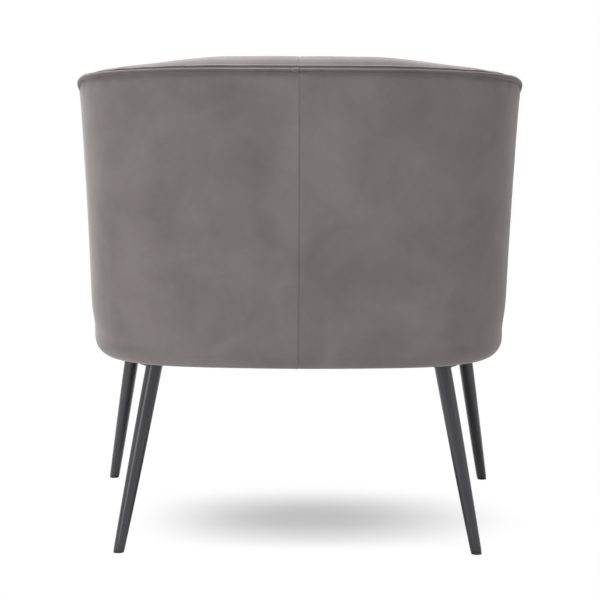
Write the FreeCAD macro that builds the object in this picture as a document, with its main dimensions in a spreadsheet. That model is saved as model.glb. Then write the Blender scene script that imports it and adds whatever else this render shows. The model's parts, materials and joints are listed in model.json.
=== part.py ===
import FreeCAD, Part
import math
import os
from types import SimpleNamespace

from FreeCAD import Placement, Rotation, Vector

# A velvet tub chair on four splayed legs, seen by its maker as a bench of parts.
# The frame is in millimetres: X to the sitter's left, the chair faces -Y, Z up,
# origin on the floor under the middle of the chair.

# Driving dimensions, kept in the sheet: alias, value, meaning
SIZES = (
    ("rim_back_y", 337.0, "rim line at the middle of the back"),
    ("rim_back_radius", 1000.0, "gentle bow of the back in plan"),
    ("rim_corner_radius", 190.0, "rear corners in plan"),
    ("rim_half_width", 361.0, "rim line at the end of the corner"),
    ("side_splay", 6.4, "how much further out the rim is at the arm front"),
    ("arm_front_y", -325.0, "where the outside panel ends at the arm front"),
    ("rim_height", 777.0, "rim at the back, to the piping's centre"),
    ("arm_drop", 100.0, "rim's gentle fall from the back to the arm front"),
    ("corner_drop", 30.0, "rim's further fall past the rear corners"),
    ("level_run", 130.0, "level stretch of the rim each side of the middle"),
    ("crest_rise_back", 20.0, "inside padding above the rim at the back"),
    ("crest_rise_arm", 12.0, "inside padding above the rim on the arms"),
    ("crest_setback", 41.0, "top of the padding, in from the rim line"),
    ("body_bottom", 304.5, "underside of the outside cover"),
    ("lean_back", 37.0, "how far the outside leans in at the back"),
    ("lean_side", 19.0, "the same at the rear of the sides"),
    ("lean_front", 14.0, "the same at the arm front"),
    ("under_back", 22.0, "rounding under the back"),
    ("under_corner", 42.0, "rounding under the rear corners"),
    ("under_front", 26.0, "rounding under the arm front"),
    ("wall_back", 95.0, "whole thickness of the padded back at its roll"),
    ("wall_arm", 82.0, "whole thickness of the padded arm at its roll"),
    ("cloth", 1.8, "velvet with its backing"),
    ("fit", 0.3, "clearance between neighbours"),
    ("piping_radius", 3.0, "cord with its velvet sleeve"),
    ("turn_under", 51.0, "cover turned under the base"),
    ("liner", 3.0, "card and wadding liner behind the outside cover"),
    ("liner_gap", 0.8, "liner to the wooden frame"),
    ("foam_gap", 2.5, "foam to the posts, which are straight across"),
    ("ply", 18.0, "plywood base and ribs"),
    ("base_width", 85.0, "plywood base, across"),
    ("post_thickness", 24.0, "posts and top ribs, from outside to inside"),
    ("post_width", 44.0, "posts, along the rim"),
    ("post_gap", 0.7, "posts to the ribs above, for glue"),
    ("post_set", 1.8, "posts, in from the curve of the frame, because they are flat"),
    ("rib_depth", 22.0, "top ribs, from top to bottom"),
    ("rib_drop", 14.0, "top of the ribs, below the rim"),
    ("panel_thickness", 15.0, "plywood panel in the arm front"),
    ("facing_thickness", 11.0, "padding and cover on the arm front"),
    ("facing_edge", 4.5, "straight part of the facing before its crown"),
    ("facing_crown", 7.0, "how far the facing draws in at its front"),
    ("rail_top", 384.0, "top of the seat rails"),
    ("rail_thickness", 25.0, "seat rails"),
    ("back_rail_short", 13.0, "back rail's ends, in from where the corners start"),
    ("back_rail_in", 112.0, "front face of the back rail, in from the rim line"),
    ("side_rail_out", 5.2, "side rails, out from the arm's inside face"),
    ("side_rail_rear", 49.0, "rear end of the side rails, forward of the corner's centre"),
    ("border_ahead", 6.0, "face of the front border, ahead of the arm front"),
    ("border_pad", 4.0, "wadding under the front border"),
    ("border_rounding", 22.0, "rounding under the front border"),
    ("corner_rail_set", 16.0, "diagonal corner rails, clear of the rails they join"),
    ("corner_rail_forward", 4.0, "their rear ends, forward of the back rail's middle"),
    ("block_leg", 62.0, "legs of the glued corner blocks"),
    ("block_height", 45.0, "corner blocks"),
    ("spring_wire", 3.8, "zigzag spring wire"),
    ("spring_edge", 8.0, "outer springs, in from the back rail's ends"),
    ("spring_half_width", 18.0, "zigzag, from its middle line to the centre of a bend"),
    ("spring_tail", 26.0, "straight tail of a spring in its clip"),
    ("clip_length", 16.0, "spring clip, front to back"),
    ("clip_width", 14.0, "spring clip, across"),
    ("clip_sheet", 1.2, "spring clip steel"),
    ("felt", 2.6, "felt over the springs"),
    ("felt_inset", 42.0, "felt, in from the seat's edge"),
    ("seat_gap", 1.2, "seat to the padding round it"),
    ("seat_ahead", 12.0, "front of the seat, ahead of the arm front"),
    ("seat_front_radius", 26.0, "front corners of the seat"),
    ("seat_side", 48.0, "height of the seat's upright side"),
    ("seat_tuck", 8.0, "how far the seat's foot draws in"),
    ("seat_crown", 24.0, "crown of the seat above its side"),
    ("back_foot_in", 71.5, "rear feet, in from the rim's half width"),
    ("back_foot_forward", 73.0, "rear feet, forward of the rim line"),
    ("back_leg_in", 56.1, "rear legs lean in over their height"),
    ("back_leg_forward", 49.2, "rear legs lean forward over their height"),
    ("front_foot_in", 11.0, "front feet, in from the rim's half width"),
    ("front_foot_back", 9.0, "front feet, back from the arm front"),
    ("front_leg_in", 48.8, "front legs lean in over their height"),
    ("front_leg_back", 49.2, "front legs lean back over their height"),
    ("foot_diameter", 16.8, "legs at the floor"),
    ("leg_diameter", 26.0, "legs at the top"),
    ("leg_wall", 1.6, "steel tube wall"),
    ("plate_diameter", 50.0, "welded plate at the top of a leg"),
    ("plate_thickness", 3.0, "welded plate"),
    ("plate_play", 1.5, "dust cover, clear of the leg plates"),
    ("dust_cloth", 0.6, "dust cover"),
    ("dust_inset", 8.0, "dust cover, in from the end of the rounding"),
    ("glide_height", 4.0, "plastic glide under the tube"),
    ("plug_height", 16.0, "plug of the glide inside the tube"),
    ("screw_diameter", 4.8, "leg screws"),
    ("screw_length", 20.0, "leg screws under the head"),
    ("screw_head", 8.0, "leg screw head diameter"),
    ("screw_head_height", 2.4, "leg screw head"),
    ("screw_circle", 18.5, "leg screws, out from the leg's middle"),
    ("screw_play", 0.4, "screw holes over the screw"),
    ("staple_crown", 10.0, "dust cover staples, across"),
    ("staple_wire", 1.0, "dust cover staple wire, across"),
    ("staple_flat", 0.5, "dust cover staple wire, through"),
    ("staple_pitch", 62.0, "dust cover staples, spacing"),
    ("staple_inset", 6.0, "dust cover staples, in from its edge"),
    ("least_run", 12.0, "closest that two sections of a shell may be"),
    ("overrun", 8.0, "how far a cutting tool passes the piece"),
)
# Shares that shape the curves
DROP_SHARES = (1.35, 0.35)
CORNER_DROP_SHARES = (0.41, 0.69)
RISE_RUN_SHARES = (0.12, 0.28)
LEAN_RUN_SHARE = 0.11
UNDER_RUN_SHARES = (0.16, 0.37)
WALL_RUN_SHARES = (0.10, 0.50)
BACK_SLOPE_SHARE = 0.123
ARM_SLOPE_SHARE = 0.035
FOAM_START_SHARE = 0.9
FOAM_BREAK_SHARE = 0.30
BASE_BREAK_SHARE = 0.41
POST_SHARES = {"back": 0.19, "corner": 0.365, "side": 0.66}
# The seat's crown is a superellipse drawn in to this share
SEAT_CROWN_SHARE = 0.85
SEAT_CROWN_POWER = 2.6
SEAT_CROWN_STEPS = 8
BOW_STEPS = 5
CORNER_STEPS = 11
SIDE_STEPS = 9
SPRINGS = 4
SPRING_BENDS = 12
PIPING_DOWN_STEPS = 6
SCREWS_PER_LEG = 4

doc = FreeCAD.newDocument("tub_chair")
sheet = doc.addObject("Spreadsheet::Sheet", "Sizes")
for row, (alias, value, meaning) in enumerate(SIZES, start=1):
    sheet.set(f"A{row}", meaning)
    sheet.set(f"B{row}", str(value))
    sheet.setAlias(f"B{row}", alias)
doc.recompute()
S = SimpleNamespace(**{alias: float(sheet.get(alias)) for alias, value, meaning in SIZES})

SIDES = (("left", 1), ("right", -1))
UP = Vector(0, 0, 1)
pieces = []


def keep(name, shape):
    """Add a sub-part whose shape is set by code."""
    feature = doc.addObject("Part::Feature", name)
    feature.Label = name
    feature.Shape = shape
    feature.Placement = Placement(Vector(0, 0, 0), Rotation())
    pieces.append(feature)
    return feature


def keep_object(name, feature):
    """Take an object of the document as a sub-part."""
    feature.Label = name
    pieces.append(feature)
    return feature


def blend(first, last, share):
    """Smooth step from one size to another."""
    share = min(max(share, 0.0), 1.0)
    return first + (last - first) * share * share * (3 - 2 * share)


# The rim line in plan: a gentle arc, a corner arc and a nearly straight side
corner_x = S.rim_half_width - S.rim_corner_radius
bow_angle = math.asin(corner_x / (S.rim_back_radius - S.rim_corner_radius))
bow_y = S.rim_back_y - S.rim_back_radius
corner_y = bow_y + (S.rim_back_radius - S.rim_corner_radius) * math.cos(bow_angle)
side_angle = math.atan2(S.side_splay, corner_y - S.arm_front_y)
bow_run = S.rim_back_radius * bow_angle
corner_run = S.rim_corner_radius * (math.pi / 2 - side_angle - bow_angle)
corner_end = bow_run + corner_run
side_start = Vector(corner_x + S.rim_corner_radius * math.cos(side_angle),
                    corner_y + S.rim_corner_radius * math.sin(side_angle), 0)
rim_run = corner_end + (side_start.y - S.arm_front_y) / math.cos(side_angle)


class Station:
    """Upright section of the shell, square to the rim line, at a run round from the back's middle.

    Places in it are pairs: how far out from the rim line, and the height.
    """

    def __init__(self, along):
        hand = 1 if along >= 0 else -1
        run = abs(along)
        if run <= bow_run:
            turn = run / S.rim_back_radius
            place = Vector(0, bow_y, 0)
            reach = S.rim_back_radius
        elif run <= corner_end:
            turn = bow_angle + (run - bow_run) / S.rim_corner_radius
            place = Vector(corner_x, corner_y, 0)
            reach = S.rim_corner_radius
        else:
            turn = math.pi / 2 - side_angle
            place = side_start + Vector(math.sin(side_angle), -math.cos(side_angle), 0) * (run - corner_end)
            reach = 0
        normal = Vector(math.sin(turn), math.cos(turn), 0)
        place = place + normal * reach
        self.base = Vector(hand * place.x, place.y, 0)
        self.normal = Vector(hand * normal.x, normal.y, 0)
        self.forward = Vector(hand * normal.y, -normal.x, 0)
        share = run / rim_run
        fall = max(run - S.level_run, 0) / (rim_run - S.level_run)
        self.rim = S.rim_height - S.arm_drop * fall ** 2 * (DROP_SHARES[0] - DROP_SHARES[1] * fall)
        drop_start, drop_end = CORNER_DROP_SHARES
        self.rim -= blend(0, S.corner_drop, (share - drop_start) / (drop_end - drop_start))
        rise_start, rise_end = RISE_RUN_SHARES
        self.crest = self.rim + blend(S.crest_rise_back, S.crest_rise_arm,
                                      (share - rise_start) / (rise_end - rise_start))
        turned = corner_end / rim_run
        self.lean = blend(S.lean_back, S.lean_side, (share - LEAN_RUN_SHARE) / (turned - LEAN_RUN_SHARE))
        self.lean -= blend(0, S.lean_side - S.lean_front, (share - turned) / (1 - turned))
        under_start, under_end = UNDER_RUN_SHARES
        self.under = blend(S.under_back, S.under_corner, (share - under_start) / (under_end - under_start))
        self.under -= blend(0, S.under_corner - S.under_front, (share - under_end) / (1 - under_end))
        wall_start, wall_end = WALL_RUN_SHARES
        wall_share = (share - wall_start) / (wall_end - wall_start)
        self.wall = blend(S.wall_back, S.wall_arm, wall_share)
        self.slope = blend(BACK_SLOPE_SHARE, ARM_SLOPE_SHARE, wall_share)
        # The outside wall ends under the piping
        self.wall_top = self.rim - S.piping_radius - S.fit
        self.tilt = math.atan2(self.lean, self.wall_top - S.body_bottom - self.under)
        self.under_out = -self.lean - self.under * math.cos(self.tilt)
        self.under_up = S.body_bottom + self.under
        # The roll: one arc up to the crest, another over and down the inside
        self.roll_start = S.piping_radius + S.fit
        height = self.crest - self.wall_top
        width = S.crest_setback - self.roll_start
        self.outer_roll = (width ** 2 + height ** 2) / (2 * height)
        self.outer_turn = math.asin(width / self.outer_roll)
        self.inner_roll = self.wall - S.crest_setback
        self.inner_turn = math.pi / 2 - math.atan(self.slope)

    def point(self, place):
        """Place in the section as a point in space."""
        return self.base + self.normal * place[0] + UP * place[1]

    def top(self, depth):
        """Top of the outside wall at this depth in from its face."""
        return (-depth, self.wall_top)

    def under_at(self, depth, angle):
        """Point of the rounding, at an angle below level."""
        reach = self.under - depth
        return (self.under_out + reach * math.cos(angle), self.under_up - reach * math.sin(angle))

    def foot(self, depth):
        """Where the outside wall meets the rounding."""
        return self.under_at(depth, self.tilt)

    def rounding(self, depth, angle):
        """Middle and end of the arc from the wall's foot down to an angle."""
        return (self.under_at(depth, (self.tilt + angle) / 2), self.under_at(depth, angle))

    def rounding_back(self, depth, angle):
        """The same arc, from the angle up to the wall's foot."""
        return (self.under_at(depth, (self.tilt + angle) / 2), self.foot(depth))

    def wall_at(self, depth, height):
        """How far out the wall or its rounding is at a height."""
        foot_out, foot_up = self.foot(depth)
        if height < foot_up:
            reach = self.under - depth
            return self.under_out + math.sqrt(max(reach ** 2 - (self.under_up - height) ** 2, 0))
        share = (height - foot_up) / (self.wall_top - foot_up)
        return foot_out + (-depth - foot_out) * share

    def frame_at(self, height):
        """Outer face of the wooden frame at a height."""
        low, high = base_top, self.rim - S.rib_drop
        low_out, high_out = self.wall_at(frame_depth, low), self.wall_at(frame_depth, high)
        return low_out + (high_out - low_out) * (height - low) / (high - low)

    def outer_arc(self, depth, share):
        """Point on the roll's outer arc: share 1 at the piping, 0 at the crest."""
        reach, turn = self.outer_roll - depth, self.outer_turn * share
        return (-S.crest_setback + reach * math.sin(turn),
                self.crest - self.outer_roll + reach * math.cos(turn))

    def inner_arc(self, depth, share):
        """Point on the roll's inner arc: share 0 at the crest, 1 on the inside face."""
        reach, turn = self.inner_roll - depth, self.inner_turn * share
        return (-S.crest_setback - reach * math.sin(turn),
                self.crest - self.inner_roll + reach * math.cos(turn))

    def over(self, depth, start=1.0):
        """Moves over the roll, from the piping to the inside face."""
        return ((self.outer_arc(depth, start / 2), self.outer_arc(depth, 0)),
                (self.inner_arc(depth, 0.5), self.inner_arc(depth, 1)))

    def back_over(self, depth, start=1.0):
        """The same roll, from the inside face back to the piping."""
        return ((self.inner_arc(depth, 0.5), self.inner_arc(depth, 0)),
                (self.outer_arc(depth, start / 2), self.outer_arc(depth, start)))

    def inside(self, depth, height):
        """Point on the inside face at a height."""
        out, up = self.inner_arc(depth, 1)
        return (out - (up - height) * self.slope, height)


def closed_wire(spot, start, *moves):
    """Closed wire in space from places: a move is a place, or the middle and the end of an arc."""
    edges = []
    here = start
    for move in moves + (start,):
        if isinstance(move[0], tuple):
            middle, there = move
            edges.append(Part.Arc(spot(here), spot(middle), spot(there)).toShape())
        else:
            there = move
            edges.append(Part.LineSegment(spot(here), spot(there)).toShape())
        here = there
    return Part.Wire(edges)


def section(station, start, *moves):
    """Closed wire in an upright section."""
    return closed_wire(station.point, start, *moves)


def runs_between(first, last):
    """Runs of the sections of a loft, closer together round the corners."""
    half = [bow_run * step / BOW_STEPS for step in range(BOW_STEPS)]
    half += [bow_run + corner_run * step / CORNER_STEPS for step in range(CORNER_STEPS)]
    half += [corner_end + (rim_run - corner_end) * step / SIDE_STEPS for step in range(SIDE_STEPS + 1)]
    every = sorted({-run for run in half} | set(half))
    return [first] + [run for run in every if first + S.least_run < run < last - S.least_run] + [last]


def shell(first, last, outline):
    """Solid along the rim line, through the outlines of its sections."""
    return Part.makeLoft([outline(Station(run)) for run in runs_between(first, last)], True, True)


def straight(first, last, outline):
    """Straight solid between two sections."""
    return Part.makeLoft([outline(Station(first)), outline(Station(last))], True, True)


def mirrored(shape, hand):
    """The piece itself on the left, its mirror image on the right."""
    return shape if hand > 0 else shape.mirror(Vector(0, 0, 0), Vector(1, 0, 0))


def keep_pair(name, shape):
    """A left piece and its mirror image on the right."""
    for side, hand in SIDES:
        keep(f"{name}_{side}", mirrored(shape, hand))


# Levels and ends that many pieces share
base_bottom = S.body_bottom + S.cloth + S.fit
base_top = base_bottom + S.ply
frame_end = rim_run - S.panel_thickness - S.fit
spring_height = S.rail_top + S.fit + S.spring_wire / 2
felt_bottom = spring_height + S.spring_wire / 2 + S.fit
seat_bottom = felt_bottom + S.felt + S.fit
frame_depth = S.cloth + S.fit + S.liner + S.liner_gap
front_face_y = S.arm_front_y - S.border_ahead
seat_front_y = S.arm_front_y - S.seat_ahead
back_rail_half = corner_x - S.back_rail_short
back_rail_y = S.rim_back_y - S.back_rail_in
side_break = rim_run * BASE_BREAK_SHARE
arm_end = Station(rim_run)
arm_inside_x = arm_end.base.x + arm_end.inside(0, S.body_bottom)[0]
side_rail_x = arm_inside_x + S.side_rail_out
side_rail_rear_y = corner_y - S.side_rail_rear
plate_top = S.body_bottom - S.fit
plate_bottom = plate_top - S.plate_thickness
dust_bottom = S.body_bottom - S.fit - S.dust_cloth

# Legs: where they meet the floor, and how they lean over their height
LEGS = {}
back_foot_x = S.rim_half_width - S.back_foot_in
back_foot_y = S.rim_back_y - S.back_foot_forward
front_foot_x = S.rim_half_width - S.front_foot_in
front_foot_y = S.arm_front_y + S.front_foot_back
for side, hand in SIDES:
    LEGS[f"rear_{side}"] = (Vector(hand * back_foot_x, back_foot_y, 0),
                            Vector(-hand * S.back_leg_in, -S.back_leg_forward, plate_bottom))
    LEGS[f"front_{side}"] = (Vector(hand * front_foot_x, front_foot_y, 0),
                             Vector(-hand * S.front_leg_in, S.front_leg_back, plate_bottom))


def screw_places():
    """Middle of each leg screw on the underside."""
    places = []
    for foot, lean in LEGS.values():
        middle = foot + lean
        for number in range(SCREWS_PER_LEG):
            angle = math.radians(360 * (number + 1 / 2) / SCREWS_PER_LEG)
            places.append(middle + Vector(math.cos(angle), math.sin(angle), 0) * S.screw_circle)
    return places


def screw_holes(shape):
    """Cut the holes of the leg screws that pass through a shape."""
    reach = S.screw_length + 2 * S.overrun
    tools = []
    for place in screw_places():
        start = Vector(place.x, place.y, plate_bottom - S.overrun)
        tool = Part.makeCylinder((S.screw_diameter + S.screw_play) / 2, reach, start)
        if tool.BoundBox.intersect(shape.BoundBox):
            tools.append(tool)
    return shape.cut(tools) if tools else shape


# Plywood base
def base_outline(station):
    bevel = station.under_at(frame_depth, math.pi / 4)
    outer = station.wall_at(frame_depth, base_top)
    inner = outer - S.base_width
    return section(station, (station.under_out, base_bottom), bevel, (outer, base_top),
                   (inner, base_top), (inner, base_bottom))


keep("base_back", screw_holes(shell(-side_break, side_break, base_outline)))
keep_pair("base", screw_holes(shell(side_break + S.fit, frame_end, base_outline)))

arm_base_x = arm_end.base.x + arm_end.wall_at(frame_depth, base_top) - S.base_width
base_front_half = arm_base_x - S.side_splay - S.fit
border_middle_y = front_face_y + S.border_rounding
border_middle_up = S.body_bottom + S.border_rounding
rail_front_y = front_face_y + S.cloth + S.border_pad + 2 * S.fit


def crosswise(half, start, *moves):
    """Solid across the chair, from an outline of how far back and the height."""
    wire = closed_wire(lambda place: Vector(-half, place[0], place[1]), start, *moves)
    return Part.Face(wire).extrude(Vector(2 * half, 0, 0))


bevel_reach = (S.border_rounding - frame_depth) * math.cos(math.pi / 4)
keep("base_front", crosswise(base_front_half, (border_middle_y, base_bottom),
                             (border_middle_y - bevel_reach, border_middle_up - bevel_reach),
                             (rail_front_y, base_top), (rail_front_y + S.base_width, base_top),
                             (rail_front_y + S.base_width, base_bottom)))


# Seat rails on the base, boxes bound to the sheet
def board(name, sizes, corner, turn=0.0):
    """Box bound to the sheet, with its lowest corner at a place and turned about Z."""
    box = doc.addObject("Part::Box", name)
    for side, formula in zip(("Length", "Width", "Height"), sizes):
        box.setExpression(side, formula)
    box.Placement = Placement(corner, Rotation(UP, turn))
    return keep_object(name, box)


def worked_out(values):
    """Add lengths that follow from the driving ones to the sheet, below them."""
    for row, (alias, value) in enumerate(values, start=len(SIZES) + 2):
        sheet.set(f"B{row}", str(value))
        sheet.setAlias(f"B{row}", alias)
    doc.recompute()


front_rail_half = arm_inside_x - S.fit
side_rail_front_y = S.arm_front_y + S.panel_thickness + 2 * S.fit
corner_rail_start = Vector(back_rail_half + S.corner_rail_set,
                           back_rail_y + S.rail_thickness / 2 - S.corner_rail_forward, base_top)
corner_rail_end = Vector(side_rail_x + S.rail_thickness / 2,
                         side_rail_rear_y + S.corner_rail_set, base_top)
worked_out((("front_rail_length", 2 * front_rail_half),
            ("back_rail_length", 2 * back_rail_half),
            ("side_rail_length", side_rail_rear_y - side_rail_front_y),
            ("corner_rail_length", (corner_rail_end - corner_rail_start).Length)))
rail_depth = "Sizes.rail_top - (Sizes.body_bottom + Sizes.cloth + Sizes.fit + Sizes.ply)"
board("front_rail", ("Sizes.front_rail_length", "Sizes.rail_thickness", rail_depth),
      Vector(-front_rail_half, rail_front_y, base_top))
board("back_rail", ("Sizes.back_rail_length", "Sizes.rail_thickness", rail_depth),
      Vector(-back_rail_half, back_rail_y, base_top))
for side, hand in SIDES:
    inner_x = side_rail_x if hand > 0 else -side_rail_x - S.rail_thickness
    board(f"side_rail_{side}", ("Sizes.rail_thickness", "Sizes.side_rail_length", rail_depth),
          Vector(inner_x, side_rail_front_y, base_top))
for side, hand in SIDES:
    start = Vector(hand * corner_rail_start.x, corner_rail_start.y, base_top)
    end = Vector(hand * corner_rail_end.x, corner_rail_end.y, base_top)
    heading = (end - start).normalize()
    across = UP.cross(heading)
    board(f"rear_corner_rail_{side}", ("Sizes.corner_rail_length", "Sizes.rail_thickness", rail_depth),
          start - across * (S.rail_thickness / 2), math.degrees(math.atan2(heading.y, heading.x)))


def corner_block(name, corner, hand):
    """Glued triangular block in a corner of the rails: a body with a sketch and a pad."""
    body = doc.addObject("PartDesign::Body", name)
    plane = next(item for item in body.Origin.OriginFeatures if item.Role == "XY_Plane")
    sketch = body.newObject("Sketcher::SketchObject", f"{name}_sketch")
    sketch.AttachmentSupport = (plane, [""])
    sketch.MapMode = "FlatFace"
    points = (Vector(0, 0, 0), Vector(-hand * S.block_leg, 0, 0), Vector(0, S.block_leg, 0))
    for here, there in zip(points, points[1:] + points[:1]):
        sketch.addGeometry(Part.LineSegment(here, there))
    pad = body.newObject("PartDesign::Pad", f"{name}_pad")
    pad.Profile = sketch
    pad.setExpression("Length", "Sizes.block_height")
    body.Placement = Placement(corner, Rotation())
    return keep_object(name, body)


for side, hand in SIDES:
    inner_x = hand * (side_rail_x - S.fit)
    corner_block(f"front_corner_block_{side}",
                 Vector(inner_x, rail_front_y + S.rail_thickness + S.fit, base_top), hand)


# Upright posts, and the top ribs that they carry
def post(middle):
    """Straight board with flat faces, its top cut to the slope of the rib."""
    station = Station(middle)
    wires = []
    for half in (-S.post_width / 2, S.post_width / 2):
        high = Station(middle + half).rim - S.rib_drop - S.rib_depth - S.post_gap
        low_out, high_out = (station.frame_at(height) - S.post_set for height in (base_top, high))
        wires.append(closed_wire(lambda place: station.point(place) + station.forward * half,
                                 (low_out, base_top), (high_out, high),
                                 (high_out - S.post_thickness, high),
                                 (low_out - S.post_thickness, base_top)))
    return Part.makeLoft(wires, True, True)


def rib_outline(station):
    high = station.rim - S.rib_drop
    low = high - S.rib_depth
    low_out, high_out = station.frame_at(low), station.frame_at(high)
    return section(station, (low_out, low), (high_out, high),
                   (high_out - S.post_thickness, high), (low_out - S.post_thickness, low))


keep("post_back_middle", post(0))
for name, share in POST_SHARES.items():
    keep_pair(f"post_{name}", post(rim_run * share))
keep("top_rib_back", shell(-side_break, side_break, rib_outline))
keep_pair("top_rib", shell(side_break + S.fit, frame_end, rib_outline))


# Plywood panels that shape the arm fronts
def panel_outline(station):
    depth = S.cloth + S.fit
    return section(station, (station.under_out, base_bottom), station.under_at(frame_depth, math.pi / 4),
                   station.foot(frame_depth), station.top(frame_depth),
                   station.outer_arc(depth, FOAM_START_SHARE), *station.over(depth, FOAM_START_SHARE),
                   station.inside(depth, base_bottom))


keep_pair("arm_front_panel", straight(rim_run - S.panel_thickness, rim_run, panel_outline))


# Card and wadding behind the outside cover, wrapped round its lower edge
def liner_outline(station):
    outer, inner = S.cloth + S.fit, S.cloth + S.fit + S.liner
    high = station.wall_top - S.cloth - S.fit
    end = math.pi / 3
    return section(station, (station.wall_at(outer, high), high), station.foot(outer),
                   station.rounding(outer, end), station.under_at(inner, end),
                   station.rounding_back(inner, end), (station.wall_at(inner, high), high))


keep_pair("outside_liner", shell(S.fit / 2, rim_run, liner_outline))


# Foam of the inside back and arms, over the top ribs
def foam_outline(station):
    depth = S.cloth + S.fit
    high = station.rim - S.rib_drop + S.fit
    back = S.post_thickness + S.foam_gap
    return section(station, station.outer_arc(depth, FOAM_START_SHARE),
                   *station.over(depth, FOAM_START_SHARE), station.inside(depth, seat_bottom),
                   (station.frame_at(seat_bottom) - back, seat_bottom),
                   (station.frame_at(high) - back, high), (station.wall_at(frame_depth, high), high))


foam_break = rim_run * FOAM_BREAK_SHARE
keep("inside_back_foam", shell(-foam_break, foam_break, foam_outline))
keep_pair("arm_foam", shell(foam_break + S.fit, frame_end, foam_outline))


# Velvet covers: the outside turned under the base, the inside over the roll
def outside_outline(station):
    end = math.pi / 2
    flap = station.under_out - S.turn_under
    return section(station, station.top(0), station.foot(0), station.rounding(0, end),
                   (flap, S.body_bottom), (flap, S.body_bottom + S.cloth), station.under_at(S.cloth, end),
                   station.rounding_back(S.cloth, end), station.top(S.cloth))


def inside_outline(station):
    return section(station, station.outer_arc(0, 1), *station.over(0), station.inside(0, seat_bottom),
                   station.inside(S.cloth, seat_bottom), station.inner_arc(S.cloth, 1),
                   *station.back_over(S.cloth))


keep_pair("outside_cover", screw_holes(shell(S.fit / 2, rim_run, outside_outline)))
keep_pair("inside_cover", shell(S.fit / 2, rim_run, inside_outline))


# Arm fronts: wadding and a velvet facing with a soft crown, inside the line of the piping
def facing_wire(depth, ahead):
    edge = S.piping_radius + S.fit + depth
    low = S.body_bottom + edge
    return closed_wire(lambda place: arm_end.point(place) + arm_end.forward * ahead,
                       (arm_end.under_out, low), arm_end.rounding_back(edge, math.pi / 2),
                       arm_end.outer_arc(depth, 1), *arm_end.over(depth), arm_end.inside(depth, low))


def facing_solid(depth):
    ahead = S.facing_thickness - depth
    return Part.makeLoft([facing_wire(depth, S.fit), facing_wire(depth, S.facing_edge),
                          facing_wire(S.facing_crown + depth, ahead)], True, True)


keep_pair("arm_front_cover", facing_solid(0).cut(facing_solid(S.cloth)))
keep_pair("arm_front_pad", facing_solid(S.cloth + S.fit))


# Piping: along the rim, then down the front edge of the outside panel, with a mitre
def ring(middle, along, outward):
    """Circle of the piping as four arcs, square to a direction."""
    along = Vector(along).normalize()
    across = along.cross(outward).normalize()
    outward = across.cross(along)
    reach = S.piping_radius
    spots = [middle + (outward * math.cos(turn) + across * math.sin(turn)) * reach
             for turn in (math.pi / 4 * eighth for eighth in range(8))]
    arcs = [Part.Arc(spots[eighth], spots[eighth + 1], spots[(eighth + 2) % 8]).toShape()
            for eighth in (0, 2, 4, 6)]
    return Part.Wire(arcs)


def tube(middles, outwards):
    """Lofted tube through a row of places."""
    rings = []
    for number, middle in enumerate(middles):
        before = middles[max(number - 1, 0)]
        after = middles[min(number + 1, len(middles) - 1)]
        rings.append(ring(middle, after - before, outwards[number]))
    return Part.makeLoft(rings, True, True)


def beyond(middle, along):
    """Large block whose face lies square to a direction at a place, to cut a mitre."""
    size = 4 * S.overrun
    block = Part.makeBox(size, size, size, Vector(-size / 2, -size / 2, 0))
    block.Placement = Placement(middle, Rotation(UP, along))
    return block


def rim_piping():
    """Left half of the piping, from the join at the middle of the back to the arm's foot."""
    stations = [Station(run) for run in runs_between(S.fit / 2, rim_run)]
    row = [station.point((0, station.rim)) for station in stations]
    ahead = arm_end.forward * (S.piping_radius + S.fit)
    slope = (row[-1] - row[-2]).normalize()
    corner = row[-1] + slope * (S.piping_radius + S.fit)
    row.append(corner + slope * S.overrun)
    rim = tube(row, [station.normal for station in stations] + [arm_end.normal])
    foot_up = arm_end.foot(0)[1]
    heights = [arm_end.rim + (foot_up - arm_end.rim) * step / PIPING_DOWN_STEPS
               for step in range(1, PIPING_DOWN_STEPS + 1)]
    down = [arm_end.point((arm_end.wall_at(0, height), height)) + ahead for height in heights]
    angles = [arm_end.tilt + (math.pi / 2 - arm_end.tilt) * step / PIPING_DOWN_STEPS
              for step in range(1, PIPING_DOWN_STEPS + 1)]
    rounded = [arm_end.point(arm_end.under_at(0, angle)) + ahead for angle in angles]
    drop = (down[0] - corner).normalize()
    outs = [arm_end.normal] * (len(down) + 2) + [
        arm_end.normal * math.cos(angle) - UP * math.sin(angle) for angle in angles]
    fall = tube([corner - drop * S.overrun, corner] + down + rounded, outs)
    mitre = (slope + drop).normalize()
    return rim.cut(beyond(corner, mitre)).fuse(fall.cut(beyond(corner, mitre * -1))).removeSplitter()


keep_pair("rim_piping", rim_piping())


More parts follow.
